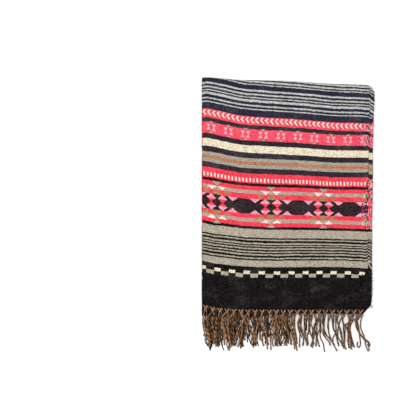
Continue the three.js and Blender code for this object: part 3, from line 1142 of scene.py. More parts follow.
        # Painted shade: cords of lower layers, and cords with others lying on them, are darker; cords are
        # also darker towards the right.
        covered_shade = 1 - smoothstep(line[0, 0], *self.covered_shade)
        parted = smoothstep(line[0, 0], *self.parted)
        shade_and_darkening = (row.tone - covered_shade * row.covered_shade) * (1 - self.parted_dull * parted)
        tones = [chance.uniform(*self.dark_tone) * shade_and_darkening, chance.uniform(*self.pale_tone) * shade_and_darkening]
        thin = 1 - self.parted_thin * parted
        offset = self.ply_offset * (thin + self.tip_open * tip)
        radius = self.ply_radius * (thin - self.root_thin * (1 - joined) - self.tip_thin * tip)
        open_to = half_width * (1 - np.clip(reach / join, 0, 1)) ** self.fan_closing
        made = []
        for tone, turn, way in zip(tones, (0.0, math.pi), (-1, 1)):
            twist = side * np.cos(phase + turn)[:, None] + up * np.sin(phase + turn)[:, None]
            points = centre + twist * (offset * joined)[:, None] + np.outer(open_to * way, (1.0, 0.0, 0.0))
            points[:, 2] = np.maximum(points[:, 2], radius)
            made.append((np.column_stack([points, radius]), tone))
        return made + self.hairs.lay(centre, reach, join, half_width, chance)

    def lay_all(self) -> dict[str, list[Strand]]:
        """Lay every cord, from the lowest layer to the top one.

        Returns:
            The strands of each layer, each with a tone of its own.
        """
        laid: dict[str, list[Strand]] = {}
        given = self.share_out()
        thickness = self.ply_radius + self.ply_offset + self.clearance
        for row in reversed(FRINGES):
            chance = np.random.default_rng(row.seed)
            level = FOLD.level(FOLD.layers - row.layer)
            drop = self.drop + self.drop_step * (len(FRINGES) - row.layer)
            laid[row.node] = self.loose.lay(row, self)
            for number in range(self.per_layer):
                join = chance.uniform(*self.join)
                line = self.route(row, number, self.guide(row, number, given, chance), join, chance)
                down = np.arange(len(line)) * self.step
                fall = level * (1 - smoothstep(down, self.drop_from, drop))
                height = self.heap.lay(line, thickness, fall)
                laid[row.node] += self.plies(row, line, height, join, chance)
        return laid


def sweep(name: str, strands: list[Strand], material: bpy.types.Material, sides: int,
          labels: dict[str, list[float]] | None = None) -> bpy.types.Object:
    """Sweep a round section along every strand.

    Args:
        name: Name of the piece.
        strands: Points and radii of the strands, in metres, and their tones.
        material: The yarn.
        sides: Sides of the section.
        labels: Further values for the points.

    Returns:
        The finished piece.
    """
    points, edges, tones, along = [], [], [], []
    for strand, tone in strands:
        first = len(points)
        points += strand.tolist()
        edges += [(first + i, first + i + 1) for i in range(len(strand) - 1)]
        tones += [tone] * len(strand)
        steps = np.diff(strand[:, :3], axis=0, prepend=strand[:1, :3])
        along += np.linalg.norm(steps, axis=1).cumsum().tolist()
    mesh = bpy.data.meshes.new(name)
    mesh.from_pydata([point[:3] for point in points], edges, [])
    values = {"thick": [point[3] for point in points], "tone": tones, "reach": along, **(labels or {})}
    for label, column in values.items():
        mesh.attributes.new(label, "FLOAT", "POINT").data.foreach_set("value", column)
    source = bpy.data.objects.new(name, mesh)
    bpy.context.scene.collection.objects.link(source)
    tree = strand_tree("strands_of_" + name)
    modifier = source.modifiers.new("strands", "NODES")
    modifier.node_group = tree
    inputs = {"Sides": sides, "Yarn": material}
    for item in tree.interface.items_tree:
        if item.name in inputs:
            modifier[item.identifier] = inputs[item.name]
    return made_plain(source)


def strand_tree(name: str) -> bpy.types.NodeTree:
    """Build the node tree that turns lines into round strands.

    Args:
        name: Name of the tree.

    Returns:
        The tree, with inputs for the section's sides and the yarn.
    """
    tree = bpy.data.node_groups.new(name, "GeometryNodeTree")
    face = tree.interface
    face.new_socket("Geometry", in_out="INPUT", socket_type="NodeSocketGeometry")
    face.new_socket("Sides", in_out="INPUT", socket_type="NodeSocketInt")
    face.new_socket("Yarn", in_out="INPUT", socket_type="NodeSocketMaterial")
    face.new_socket("Geometry", in_out="OUTPUT", socket_type="NodeSocketGeometry")
    new, join = tree.nodes.new, tree.links.new
    enter, leave = new("NodeGroupInput"), new("NodeGroupOutput")
    thick = new("GeometryNodeInputNamedAttribute")
    thick.data_type = "FLOAT"
    thick.inputs["Name"].default_value = "thick"
    lines, radius = new("GeometryNodeMeshToCurve"), new("GeometryNodeSetCurveRadius")
    section, swept = new("GeometryNodeCurvePrimitiveCircle"), new("GeometryNodeCurveToMesh")
    section.inputs["Radius"].default_value = 1.0
    swept.inputs["Fill Caps"].default_value = True
    real, dressed = new("GeometryNodeRealizeInstances"), new("GeometryNodeSetMaterial")
    join(enter.outputs["Geometry"], lines.inputs["Mesh"])
    join(lines.outputs["Curve"], radius.inputs["Curve"])
    join(thick.outputs["Attribute"], radius.inputs["Radius"])
    join(enter.outputs["Sides"], section.inputs["Resolution"])
    join(radius.outputs["Curve"], swept.inputs["Curve"])
    join(section.outputs["Curve"], swept.inputs["Profile Curve"])
    if "Scale" in swept.inputs:
        join(thick.outputs["Attribute"], swept.inputs["Scale"])
    join(swept.outputs["Mesh"], real.inputs["Geometry"])
    join(real.outputs["Geometry"], dressed.inputs["Geometry"])
    join(enter.outputs["Yarn"], dressed.inputs["Material"])
    join(dressed.outputs["Geometry"], leave.inputs["Geometry"])
    return tree


def made_plain(source: bpy.types.Object) -> bpy.types.Object:
    """Turn an object's evaluated shape into its own plain mesh.

    Args:
        source: The object with its modifiers.

    Returns:
        The same object, with the result as its mesh and no modifiers.  How far each point faces
        upwards is kept as an attribute, which the yarn reads for its painted shade and highlight.
    """
    bpy.context.view_layer.update()
    graph = bpy.context.evaluated_depsgraph_get()
    result = bpy.data.meshes.new_from_object(source.evaluated_get(graph))
    name = source.name
    source.modifiers.clear()
    old, source.data = source.data, result
    bpy.data.meshes.remove(old)
    result.name = name
    result.polygons.foreach_set("use_smooth", [True] * len(result.polygons))
    facing = np.empty(3 * len(result.vertices), dtype=np.float32)
    result.vertex_normals.foreach_get("vector", facing)
    result.attributes.new("up", "FLOAT", "POINT").data.foreach_set("value", facing[2::3].copy())
    return source


@dataclass(frozen=True)
class PulledThread:
    """One weft thread that is pulled out at the front corner, and where in the weave it belongs."""

    across: float = 347.5
    along: float = 6.5
    size: float = 3.0
    flatness: float = 0.8
    opening: float = 2.6
    points: int = 13
    level: float = 5.9
    rise: float = 0.3
    stoutness: float = 1.2
    weft: float = 60.0
    weave: float = 20.0


@dataclass(frozen=True)
class WeftLoops:
    """The weft where it turns round the outermost warp ends: small loops all along both selvedges."""

    pitch: float = 2.5
    radius: float = 0.42
    reach: float = 1.1
    slack: float = 1.9
    end_band: float = 88.0
    sides: int = 5
    seed: int = 71
    loop_points: int = 5
    ends: Pair = (1.0, 3.0)
    width: Pair = (1.2, 2.0)
    out: Pair = (0.5, 1.5)
    gap: Pair = (0.7, 1.3)
    sunk: float = 0.35
    tilt: float = 0.18
    tone: float = 0.5
    pulled: PulledThread = PulledThread()

    def build(self, name: str, cloth: FoldedCloth, place: Placement,
              material: bpy.types.Material) -> bpy.types.Object:
        """Build the loops.

        Args:
            name: Name of the piece.
            cloth: The cloth, with its selvedges laid.
            place: Where the pile stands.
            material: The cloth's finish.

        Returns:
            The finished piece.
        """
        chance = np.random.default_rng(self.seed)
        strands, weft, weave = [], [], []
        turn = np.linspace(0, math.pi, self.loop_points)
        radii = np.full(self.loop_points, self.radius * MM)
        first, last = self.ends
        for edge, line, woven in cloth.selvedges:
            along = np.linalg.norm(np.diff(line, axis=0, prepend=line[:1]), axis=1).cumsum() / MM
            at = first
            while at < along[-1] - last:
                here = float(np.interp(at, along, woven))
                slack = self.slack if min(here, FOLD.length - here) < self.end_band else 1.0
                width = slack * chance.uniform(*self.width)
                out = slack * self.reach * chance.uniform(*self.out)
                spots = at + width * (1 - np.cos(turn)) / 2
                points = np.column_stack([np.interp(spots, along, column) for column in line.T])
                points[:, 0] += (out * np.sin(turn) - self.sunk) * MM
                points[:, 2] += chance.normal(0, self.tilt) * np.sin(turn) * MM
                strands.append((np.column_stack([points, radii]), self.tone))
                weft += [edge] * self.loop_points
                weave += np.interp(spots, along, woven).tolist()
                at += slack * self.pitch * chance.uniform(*self.gap)
        loose = self.pulled
        ring = np.linspace(-loose.opening, loose.opening, loose.points)
        points = place.points(loose.across + loose.size * (1 + np.cos(ring)),
                              loose.along + loose.size * loose.flatness * np.sin(ring),
                              FOLD.level(loose.level) + loose.rise * ring ** 2)
        radii = np.full(loose.points, self.radius * loose.stoutness * MM)
        strands.append((np.column_stack([points, radii]), self.tone))
        weft += [loose.weft] * loose.points
        weave += [loose.weave] * loose.points
        piece = sweep(name, strands, material, self.sides, {"weft_at": weft, "weave_at": weave})
        return self.mapped(piece, cloth.uv_span)

    @staticmethod
    def mapped(piece: bpy.types.Object, span: float) -> bpy.types.Object:
        """Turn the loops' weave coordinates into a UV map like the cloth's.

        Args:
            piece: The loops.
            span: Length of cloth that the map covers.

        Returns:
            The same piece.
        """
        mesh = piece.data
        both = np.empty((2, len(mesh.vertices)), dtype=np.float32)
        for row, label in enumerate(("weft_at", "weave_at")):
            mesh.attributes[label].data.foreach_get("value", both[row])
        map_weave(mesh, both.T, span)
        return piece


# ------------------------------------------------------------------ finishes


class Term:
    """A number in a material's node tree, which ordinary arithmetic extends."""

    def __init__(self, tree: bpy.types.NodeTree, source: Socket | float) -> None:
        """Keep the tree and the socket, or the fixed number, that holds the value."""
        self.tree, self.source = tree, source

    def math(self, operation: str, *others: Term | float, clamp: bool = False) -> Term:
        """Put this number through a Math node.

        Args:
            operation: The node's operation.
            others: Its further inputs.
            clamp: Whether the result is held between 0 and 1.

        Returns:
            The result.
        """
        node = self.tree.nodes.new("ShaderNodeMath")
        node.operation, node.use_clamp = operation, clamp
        for socket, value in zip(node.inputs, (self, *others)):
            value = value.source if isinstance(value, Term) else value
            if isinstance(value, Socket):
                self.tree.links.new(value, socket)
            else:
                socket.default_value = value
        return Term(self.tree, node.outputs[0])

    def __add__(self, other: Term | float) -> Term:
        """Add."""
        return self.math("ADD", other)

    def __sub__(self, other: Term | float) -> Term:
        """Subtract."""
        return self.math("SUBTRACT", other)

    def __mul__(self, other: Term | float) -> Term:
        """Multiply."""
        return self.math("MULTIPLY", other)

    def __abs__(self) -> Term:
        """Drop the sign."""
        return self.math("ABSOLUTE")

    def __lt__(self, other: Term | float) -> Term:
        """1 where this is less."""
        return self.math("LESS_THAN", other)

    def __gt__(self, other: Term | float) -> Term:
        """1 where this is greater."""
        return self.math("GREATER_THAN", other)

    def between(self, low: float, high: float) -> Term:
        """1 where this lies between two limits."""
        return abs(self - (low + high) / 2) < (high - low) / 2

    def repeat(self, period: float) -> Term:
        """Signed distance from the nearest multiple of a period."""
        return self.math("ADD", period / 2).math("FLOORED_MODULO", period) - period / 2

    def step_from(self, low: float, high: float) -> Term:
        """Rise evenly from 0 to 1 between two limits."""
        return (self - low).math("MULTIPLY", 1 / (high - low), clamp=True)


class Palette:
    """Makes and mixes colours and textures in one node tree."""

    def __init__(self, tree: bpy.types.NodeTree) -> None:
        """Keep the tree."""
        self.tree = tree

    def mix(self, share: Term | float, first: object, second: object, blend: str = "MIX") -> Socket:
        """Mix two colours.

        Args:
            share: How much of the second.
            first: A colour, or the socket that holds one.
            second: A colour, or the socket that holds one.
            blend: How they mix.

        Returns:
            The socket that holds the result.
        """
        node = self.tree.nodes.new("ShaderNodeMix")
        node.data_type, node.blend_type = "RGBA", blend
        values = (share.source if isinstance(share, Term) else share, first, second)
        for socket, value in zip((node.inputs[0], node.inputs[6], node.inputs[7]), values):
            if isinstance(value, Socket):
                self.tree.links.new(value, socket)
            elif isinstance(value, tuple):
                socket.default_value = (*value, 1.0)
            else:
                socket.default_value = value
        return node.outputs[2]

    def point(self, x: Term | float, y: Term | float, z: Term | float = 0.0) -> Socket:
        """Put three numbers together as a point.

        Args:
            x: The first number.
            y: The second.
            z: The third.

        Returns:
            The socket that holds the point.
        """
        node = self.tree.nodes.new("ShaderNodeCombineXYZ")
        for socket, value in zip(node.inputs, (x, y, z)):
            if isinstance(value, Term):
                self.tree.links.new(value.source, socket)
            else:
                socket.default_value = value
        return node.outputs[0]

    def noise(self, at: Socket, scale: float = 1.0, detail: float = 2.0) -> Term:
        """Read a cloudy texture.

        Args:
            at: Where to read it.
            scale: How fine it is.
            detail: How many finer layers it has.

        Returns:
            Its value, from 0 to 1.
        """
        node = self.tree.nodes.new("ShaderNodeTexNoise")
        node.inputs["Scale"].default_value = scale
        node.inputs["Detail"].default_value = detail
        self.tree.links.new(at, node.inputs["Vector"])
        return Term(self.tree, node.outputs[0])

    def speckle(self, at: Socket) -> Term:
        """Read a random value for each whole point.

        Args:
            at: The point.

        Returns:
            Its value, from 0 to 1.
        """
        node = self.tree.nodes.new("ShaderNodeTexWhiteNoise")
        node.noise_dimensions = "3D"
        self.tree.links.new(at, node.inputs["Vector"])
        return Term(self.tree, node.outputs["Value"])

    def carried(self, label: str) -> Term:
        """Read a value that the mesh carries.

        Args:
            label: The attribute's name.

        Returns:
            Its value.
        """
        node = self.tree.nodes.new("ShaderNodeAttribute")
        node.attribute_name = label
        return Term(self.tree, node.outputs["Fac"])

    def bump(self, height: Term, distance: float, strength: float) -> Socket:
        """Turn a height into a bumped normal.

        Args:
            height: The height.
            distance: What a height of 1 stands for.
            strength: How strongly it shows.

        Returns:
            The socket that holds the normal.
        """
        node = self.tree.nodes.new("ShaderNodeBump")
        node.inputs["Distance"].default_value = distance
        node.inputs["Strength"].default_value = strength
        self.tree.links.new(height.source, node.inputs["Height"])
        return node.outputs[0]


def new_finish(name: str, specular: float, sheen: float,
               sheen_roughness: float) -> tuple[bpy.types.Material, bpy.types.Node, Palette]:
    """Start a cloth-like material.

    Args:
        name: Its name.
        specular: How much it reflects.
        sheen: How much its loose fibre shines.
        sheen_roughness: How wide that shine is.

    Returns:
        The material, its shader and its palette.
    """
    made = bpy.data.materials.new(name)
    made.use_nodes = True
    shader = made.node_tree.nodes["Principled BSDF"]
    shader.inputs["Specular IOR Level"].default_value = specular
    shader.inputs["Sheen Weight"].default_value = sheen
    shader.inputs["Sheen Roughness"].default_value = sheen_roughness
    return made, shader, Palette(made.node_tree)


class Yarn(Enum):
    """The colours of the weft."""

    END = linear(13, 12, 12)
    NIGHT = linear(42, 35, 44)
    PLUM = linear(38, 28, 34)
    NAVY = linear(38, 39, 57)
    LINE = linear(18, 14, 16)
    STONE = linear(175, 165, 148)
    DUST = linear(184, 160, 146)
    SILVER = linear(192, 193, 188)
    GREY = linear(166, 159, 148)
    CREAM = linear(234, 223, 195)
    CORAL = linear(246, 62, 83)
    ROSE = linear(247, 80, 101)
    TAN = linear(182, 126, 90)
    PINK = linear(244, 162, 182)
    BLUSH = linear(244, 194, 204)
    WHITE = linear(240, 233, 218)
    WINE = linear(140, 42, 76)
    LINT = linear(124, 114, 110)


# The stripes of the weave from the hem to the back fold: where each ends, and its yarn.
STRIPES: tuple[tuple[float, Yarn], ...] = (
    (88.3, Yarn.END), (101.7, Yarn.STONE), (104.9, Yarn.LINE), (107.8, Yarn.STONE), (112.1, Yarn.LINE),
    (114.7, Yarn.STONE), (117.9, Yarn.LINE), (120.6, Yarn.STONE), (123.8, Yarn.LINE), (126.6, Yarn.STONE),
    (129.8, Yarn.LINE), (131.7, Yarn.STONE), (134.3, Yarn.LINE), (137.5, Yarn.STONE), (141.9, Yarn.LINE),
    (144.4, Yarn.STONE), (147.6, Yarn.LINE), (164.8, Yarn.STONE), (170.4, Yarn.LINE), (179.0, Yarn.CORAL),
    (186.5, Yarn.DUST), (195.7, Yarn.CORAL), (226.0, Yarn.PLUM), (236.4, Yarn.CORAL), (243.5, Yarn.DUST),
    (252.1, Yarn.CORAL), (258.0, Yarn.LINE), (278.0, Yarn.CORAL), (288.6, Yarn.NIGHT), (295.3, Yarn.GREY),
    (302.2, Yarn.TAN), (309.0, Yarn.GREY), (319.9, Yarn.NIGHT), (335.0, Yarn.CREAM), (344.8, Yarn.NIGHT),
    (367.8, Yarn.ROSE), (376.2, Yarn.NIGHT), (393.3, Yarn.ROSE), (406.9, Yarn.NAVY), (409.3, Yarn.SILVER),
    (413.5, Yarn.NAVY), (416.6, Yarn.SILVER), (422.6, Yarn.NAVY), (427.3, Yarn.SILVER),
    (430.4, Yarn.NAVY), (432.8, Yarn.SILVER), (436.5, Yarn.NAVY), (439.6, Yarn.SILVER),
    (443.9, Yarn.NAVY), (447.6, Yarn.SILVER), (457.2, Yarn.NAVY), (459.2, Yarn.SILVER),
    (462.5, Yarn.NAVY), (465.4, Yarn.SILVER), (468.6, Yarn.NAVY), (472.4, Yarn.SILVER),
    (480.1, Yarn.NAVY),
)


@dataclass(frozen=True)
class Motif:
    """Where a band's motif stands, how often it comes back, and the size of one pick in it."""

    middle: float
    period: float
    phase: float
    pick: float = 2.07

    def frame(self, weft: Term, weave: Term) -> tuple[Term, Term]:
        """Measure from the middle of the nearest motif, in picks.

        Args:
            weft: Distance from the upper selvedge.
            weave: Distance from the hem in the pattern.

        Returns:
            The distances along the weft and away from the band's middle.
        """
        aside = abs((weft - self.phase).repeat(self.period)) * (1 / self.pick)
        return aside, abs(weave - self.middle) * (1 / self.pick)


@dataclass(frozen=True)
class Triangle:
    """A triangle of a motif, in picks: where it stands, half its base, and where base and point lie."""

    middle: float
    half_base: float
    base: float
    point: float
    yarn: Yarn

    def mask(self, aside: Term, out: Term) -> Term:
        """Mark the inside of the triangle.

        Args:
            aside: Distance from the motif's middle, along the weft.
            out: Distance from the band's middle.

        Returns:
            1 inside, 0 outside.
        """
        width = (out - self.point) * (self.half_base / (self.base - self.point))
        return (abs(aside - self.middle) < width) * (out < self.base)


class Half(Enum):
    """The halves of the cloth on either side of its long fold."""

    UPPER = "upper"
    LOWER = "lower"
    EITHER = "either"


class Specks(Enum):
    """The sizes of the random specks that break the bands up."""

    COARSE = 0.20
    FINE = 0.42


@dataclass(frozen=True)
class EdgeThreadsAndShade:
    """Threads of one colour that show where the weft turns round at a selvedge.

    They lie in some bands of the weave, between two distances from the selvedge, and only on the
    specks whose random value lies between two limits.  The dark colour that they lay within 5.5 mm of
    the upper selvedge is painted shade of the seam where the upper half's edge lies over the lower half.
    """

    yarn: Yarn
    bands: tuple[Pair, ...]
    reach: float
    begin: float = 0.0
    half: Half = Half.UPPER
    specks: Specks = Specks.FINE
    above: float = 0.0
    below: float = 1.0
    share: float = 1.0

    def mask(self, weft: Term, weave: Term, edge: Term, values: dict[Specks, Term]) -> Term:
        """Mark where the threads show.

        Args:
            weft: Distance from the upper selvedge.
            weave: Distance from the hem in the pattern.
            edge: Distance from the nearer selvedge.
            values: The random value of each size of speck.

        Returns:
            How much of the threads' colour shows.
        """
        mask = (edge < self.reach) * self.share
        if self.begin:
            mask = mask * (edge > self.begin)
        if self.half is not Half.EITHER:
            middle = FOLD.width / 2
            mask = mask * ((weft < middle) if self.half is Half.UPPER else (weft > middle))
        if self.above:
            mask = mask * (values[self.specks] > self.above)
        if self.below < 1:
            mask = mask * (values[self.specks] < self.below)
        inside = weave.between(*self.bands[0])
        for band in self.bands[1:]:
            inside = inside + weave.between(*band)
        return mask * inside


CHECK_BAND = ((65.0, 81.5),)
HEXAGON_BAND = ((195.5, 226.2),)
HOURGLASS_BANDS = ((377.5, 393.0), (347.0, 367.0))
RED_BANDS = ((170.0, 278.0), (345.0, 395.0))

# The black and plum that reach 5.5 mm on the upper half, and the plum of the hexagon band inside 5.5 mm,
# are painted shade of the seam along the upper selvedge; the pink specks over it are thread.
EDGE_THREADS_AND_SHADE: tuple[EdgeThreadsAndShade, ...] = (
    EdgeThreadsAndShade(Yarn.END, CHECK_BAND, 5.5),
    EdgeThreadsAndShade(Yarn.END, CHECK_BAND, 12.5, half=Half.EITHER, above=0.5),
    EdgeThreadsAndShade(Yarn.END, CHECK_BAND, 12.0, half=Half.LOWER),
    EdgeThreadsAndShade(Yarn.END, ((87.0, 99.0),), 9.0, half=Half.LOWER),
    EdgeThreadsAndShade(Yarn.PLUM, HEXAGON_BAND, 13.0),
    EdgeThreadsAndShade(Yarn.WINE, HEXAGON_BAND, 13.0, begin=5.5, specks=Specks.COARSE, above=0.25),
    EdgeThreadsAndShade(Yarn.BLUSH, ((195.5, 203.0), (219.0, 226.2)), 13.0, above=0.55),
    EdgeThreadsAndShade(Yarn.CREAM, ((178.0, 187.5), (235.4, 244.5)), 12.0, specks=Specks.COARSE, above=0.45, share=0.7),
    EdgeThreadsAndShade(Yarn.TAN, ((187.0, 195.5), (226.2, 236.0)), 12.0, below=0.35, share=0.6),
    EdgeThreadsAndShade(Yarn.ROSE, HOURGLASS_BANDS, 12.0),
    EdgeThreadsAndShade(Yarn.BLUSH, HOURGLASS_BANDS, 12.0, above=0.62, share=0.7),
    EdgeThreadsAndShade(Yarn.PLUM, RED_BANDS, 5.5, below=0.5, share=0.85),
    EdgeThreadsAndShade(Yarn.PINK, RED_BANDS, 5.5, above=0.78, share=0.8),
    EdgeThreadsAndShade(Yarn.CORAL, ((188.0, 234.0),), 9.0, half=Half.LOWER),
    EdgeThreadsAndShade(Yarn.PINK, RED_BANDS, 9.0, half=Half.LOWER, above=0.66, share=0.7),
    EdgeThreadsAndShade(Yarn.PLUM, RED_BANDS, 9.0, half=Half.LOWER, below=0.18, share=0.7),
)


@dataclass(frozen=True)
class Texture:
    """A texture of the yarn: how often it changes across and along, and its detail.

    Without detail it is a random value for each cell.
    """

    across: float
    along: float
    detail: float = 0.0
    layer: float = 0.0

    def read(self, palette: Palette, weft: Term, length: Term) -> Term:
        """Read the texture, from 0 to 1.

        Args:
            palette: The material's palette.
            weft: Distance from the upper selvedge.
            length: Distance from the near hem in the cloth.

        Returns:
            Its value.
        """
        x, y = weft * self.across, length * self.along
        if self.detail:
            return palette.noise(palette.point(x, y), 1.0, self.detail)
        return palette.speckle(palette.point(x.math("FLOOR"), y.math("FLOOR"), self.layer))


TEXTURES: dict[str, Texture] = {
    "thread": Texture(0.62, 0.55),
    "pick": Texture(0.38, 0.62, layer=9.0),
    "drift": Texture(0.045, 0.03, 2.0),
    "flutter": Texture(0.16, 0.30, 2.0),
    "streak": Texture(0.10, 0.60, 3.0),
    "grain": Texture(0.40, 0.46, 4.0),
    "cloud": Texture(0.020, 0.034, 3.0),
}
# How far the textures push the stripes' edges, in millimetres, and what they do to the tone and relief.
RAGGEDNESS = {"thread": 0.9, "drift": 2.2, "flutter": 1.6}
TONES = {"streak": 0.9, "grain": 1.5, "cloud": 0.3, "thread": 0.30, "pick": 0.34}
RELIEF = {"grain": 1.4, "thread": 0.5}


def weighted(values: dict[str, Term], weights: dict[str, float], start: Term) -> Term:
    """Add textures to a number, each from its middle value.

    Args:
        values: The textures' values.
        weights: How much of each is added.
        start: The number that they are added to.

    Returns:
        The sum.
    """
    for label, weight in weights.items():
        start = start + (values[label] - 0.5) * weight
    return start


@dataclass(frozen=True)
class SmallRows:
    """The rows of checks, dashes and chevrons: where they lie and how wide their parts are."""

    check_period: float = 30.16
    check_phase: float = 42.1
    pale_half_width: float = 6.3336
    grey_half_width: float = 7.54
    pale_band: Pair = (73.3, 79.9)
    grey_band: Pair = (66.7, 74.4)
    dash_pitch: float = 7.25
    dash_half_width: float = 1.55
    dash_band: Pair = (261.0, 268.4)
    chevron_pitch: float = 9.79
    chevron_half_width: float = 1.8
    chevron_slope: float = 0.85
    chevron_middle: float = 386.8
    chevron_band: Pair = (380.8, 392.0)
    chevron_share: float = 0.95

    def draw(self, palette: Palette, colour: Socket, weft: Term, weave: Term) -> Socket:
        """Draw the rows.

        Args:
            palette: The material's palette.
            colour: The colour beneath.
            weft: Distance from the upper selvedge.
            weave: Distance from the hem in the pattern.

        Returns:
            The socket that holds the colour.
        """
        check = abs((weft - self.check_phase).repeat(self.check_period))
        dash = abs(weft.repeat(self.dash_pitch))
        bend = weft + abs(weave - self.chevron_middle) * self.chevron_slope
        chevron = abs(bend.repeat(self.chevron_pitch)) < self.chevron_half_width
        for mask, band, yarn in (
            (check > self.grey_half_width, self.grey_band, Yarn.STONE),
            (check < self.pale_half_width, self.pale_band, Yarn.CREAM),
            (dash < self.dash_half_width, self.dash_band, Yarn.WHITE),
            (chevron * self.chevron_share, self.chevron_band, Yarn.WHITE),
        ):
            colour = palette.mix(mask * weave.between(*band), colour, yarn.value)
        return colour


@dataclass(frozen=True)
class Medallions:
    """The wide band's pairs of diamonds, with the triangles and the trapeze round them, in picks."""

    motif: Motif = Motif(211.0, 110.2, 93.9)
    diamond_middle: Pair = (5.65, 3.75)
    diamond_half: Pair = (4.75, 3.95)
    diamond_reach: float = 7.3
    pink_from: float = 3.3
    trapeze: Pair = (7.3, 11.6)
    trapeze_half: float = 6.9
    trapeze_slope: float = -0.33
    triangles: tuple[Triangle, ...] = (
        Triangle(15.6, 5.1, 7.4, 3.4, Yarn.PINK),
        Triangle(10.2, 4.5, 11.6, 7.9, Yarn.TAN),
        Triangle(5.2, 4.5, 15.75, 12.0, Yarn.WHITE),
        Triangle(0.0, 4.1, 20.1, 16.4, Yarn.STONE),
    )

    def draw(self, palette: Palette, colour: Socket, weft: Term, weave: Term) -> Socket:
        """Draw the band.

        Args:
            palette: The material's palette.
            colour: The colour beneath.
            weft: Distance from the upper selvedge.
            weave: Distance from the hem in the pattern.

        Returns:
            The socket that holds the colour.
        """
        aside, out = self.motif.frame(weft, weave)
        (x, y), (half_x, half_y) = self.diamond_middle, self.diamond_half
        diamond = (abs(aside - x) * (1 / half_x) + abs(out - y) * (1 / half_y)) < 1.0
        colour = palette.mix(diamond * (out < self.diamond_reach), colour, Yarn.CORAL.value)
        pink = diamond * out.between(self.pink_from, self.diamond_reach)
        colour = palette.mix(pink, colour, Yarn.PINK.value)
        trapeze = (aside < (out * self.trapeze_slope + self.trapeze_half)) * out.between(*self.trapeze)
        colour = palette.mix(trapeze, colour, Yarn.TAN.value)
        for triangle in self.triangles:
            colour = palette.mix(triangle.mask(aside, out), colour, triangle.yarn.value)
        return colour


@dataclass(frozen=True)
class Hourglasses:
    """The upper band's pairs of hourglasses, in picks."""

    motif: Motif = Motif(357.2, 35.37, 7.95)
    middle: float = 2.75
    waist: float = 0.26
    flare: float = 0.52
    reach: float = 3.2
    share: float = 0.85
    notch: Triangle = Triangle(2.75, 0.75, 3.4, 2.3, Yarn.ROSE)
    tooth: Triangle = Triangle(0.0, 2.0, 5.7, 3.9, Yarn.STONE)

    def draw(self, palette: Palette, colour: Socket, weft: Term, weave: Term) -> Socket:
        """Draw the band.

        Args:
            palette: The material's palette.
            colour: The colour beneath.
            weft: Distance from the upper selvedge.
            weave: Distance from the hem in the pattern.

        Returns:
            The socket that holds the colour.
        """
        aside, out = self.motif.frame(weft, weave)
        glass = (abs(aside - self.middle) < (out * self.flare + self.waist)) * (out < self.reach)
        whole = self.notch.mask(aside, out) < 0.5
        colour = palette.mix(glass * whole * self.share, colour, Yarn.BLUSH.value)
        return palette.mix(self.tooth.mask(aside, out), colour, self.tooth.yarn.value)


@dataclass(frozen=True)
class Selvedges:
    """How the pattern changes where the weft turns round, and on the strip of the lower half that shows."""

    strip: float = 9.0
    cell: float = 0.5
    fine_layer: float = 4.0
    top_zone: Pair = (402, 414)
    top_slant: float = 1.5
    middle_zone: Pair = (388, 398)
    middle_slant: float = -0.8
    ripple: float = 0.9
    ripple_rate: float = 0.09
    ripple_layer: float = 3.0
    low_zone: Pair = (86, 98)
    low_zone_end: Pair = (128, 166)
    rise_reach: float = 4.0
    rise_slope: float = 0.5
    lower_rise: float = 4.0
    lower_rise_at: Pair = (681, 692)
    fall_from: float = 692.5
    fall_slope: float = 0.67
    thread_band: Pair = (87.0, 99.0)
    thread_start: float = 102.0
    thread_slope: float = 1.8
    thread_half_width: float = 2.0
    thread_share: float = 0.8

    def bend(self, palette: Palette, weft: Term, weave: Term, length: Term) -> Term:
        """Bend the stripes where the lower half stands out past the upper one.

        Args:
            palette: The material's palette.
            weft: Distance from the upper selvedge.
            weave: Distance from the hem in the pattern.
            length: Distance from the near hem in the cloth.

        Returns:
            The distance from the hem, bent.
        """
        out = (weft - (FOLD.width - self.strip)).math("MAXIMUM", 0.0)
        slope = weave.step_from(*self.top_zone) * self.top_slant
        slope = slope + weave.step_from(*self.middle_zone) * self.middle_slant
        ripple = palette.noise(palette.point(length * self.ripple_rate, self.ripple_layer), 1.0, 1.0)
        slope = slope + (ripple - 0.5) * self.ripple
        low = weave.step_from(*self.low_zone) * (weave.step_from(*self.low_zone_end) * -1.0 + 1.0)
        rise = (weft * -1.0 + self.rise_reach).math("MAXIMUM", 0.0) * self.rise_slope
        rise = rise + weft.step_from(*self.lower_rise_at) * self.lower_rise
        fall = (weft - self.fall_from).math("MAXIMUM", 0.0) * self.fall_slope
        return weave + out * slope + low * (fall - rise)

    def draw(self, palette: Palette, colour: Socket, weft: Term, weave: Term) -> Socket:
        """Break the bands up with loose threads, and paint the shade of the seam along the upper selvedge.

        Args:
            palette: The material's palette.
            colour: The colour beneath.
            weft: Distance from the upper selvedge.
            weave: Distance from the hem in the pattern.

        Returns:
            The socket that holds the colour.
        """
        edge = weft.math("MINIMUM", weft * -1.0 + FOLD.width)
        column = (edge * self.cell).math("FLOOR")
        values = {
            size: palette.speckle(palette.point(column, (weave * size.value).math("FLOOR"), layer))
            for size, layer in ((Specks.COARSE, 0.0), (Specks.FINE, self.fine_layer))
        }
        # Some of these paint the shade of the seam along the upper selvedge.
        for edge_mark in EDGE_THREADS_AND_SHADE:
            colour = palette.mix(edge_mark.mask(weft, weave, edge, values), colour, edge_mark.yarn.value)
        out = weft - (FOLD.width - self.strip)
        thread = abs(weave + out * self.thread_slope - self.thread_start) < self.thread_half_width
        thread = thread * (out > 0.0) * weave.between(*self.thread_band) * self.thread_share
        return palette.mix(thread, colour, Yarn.CREAM.value)


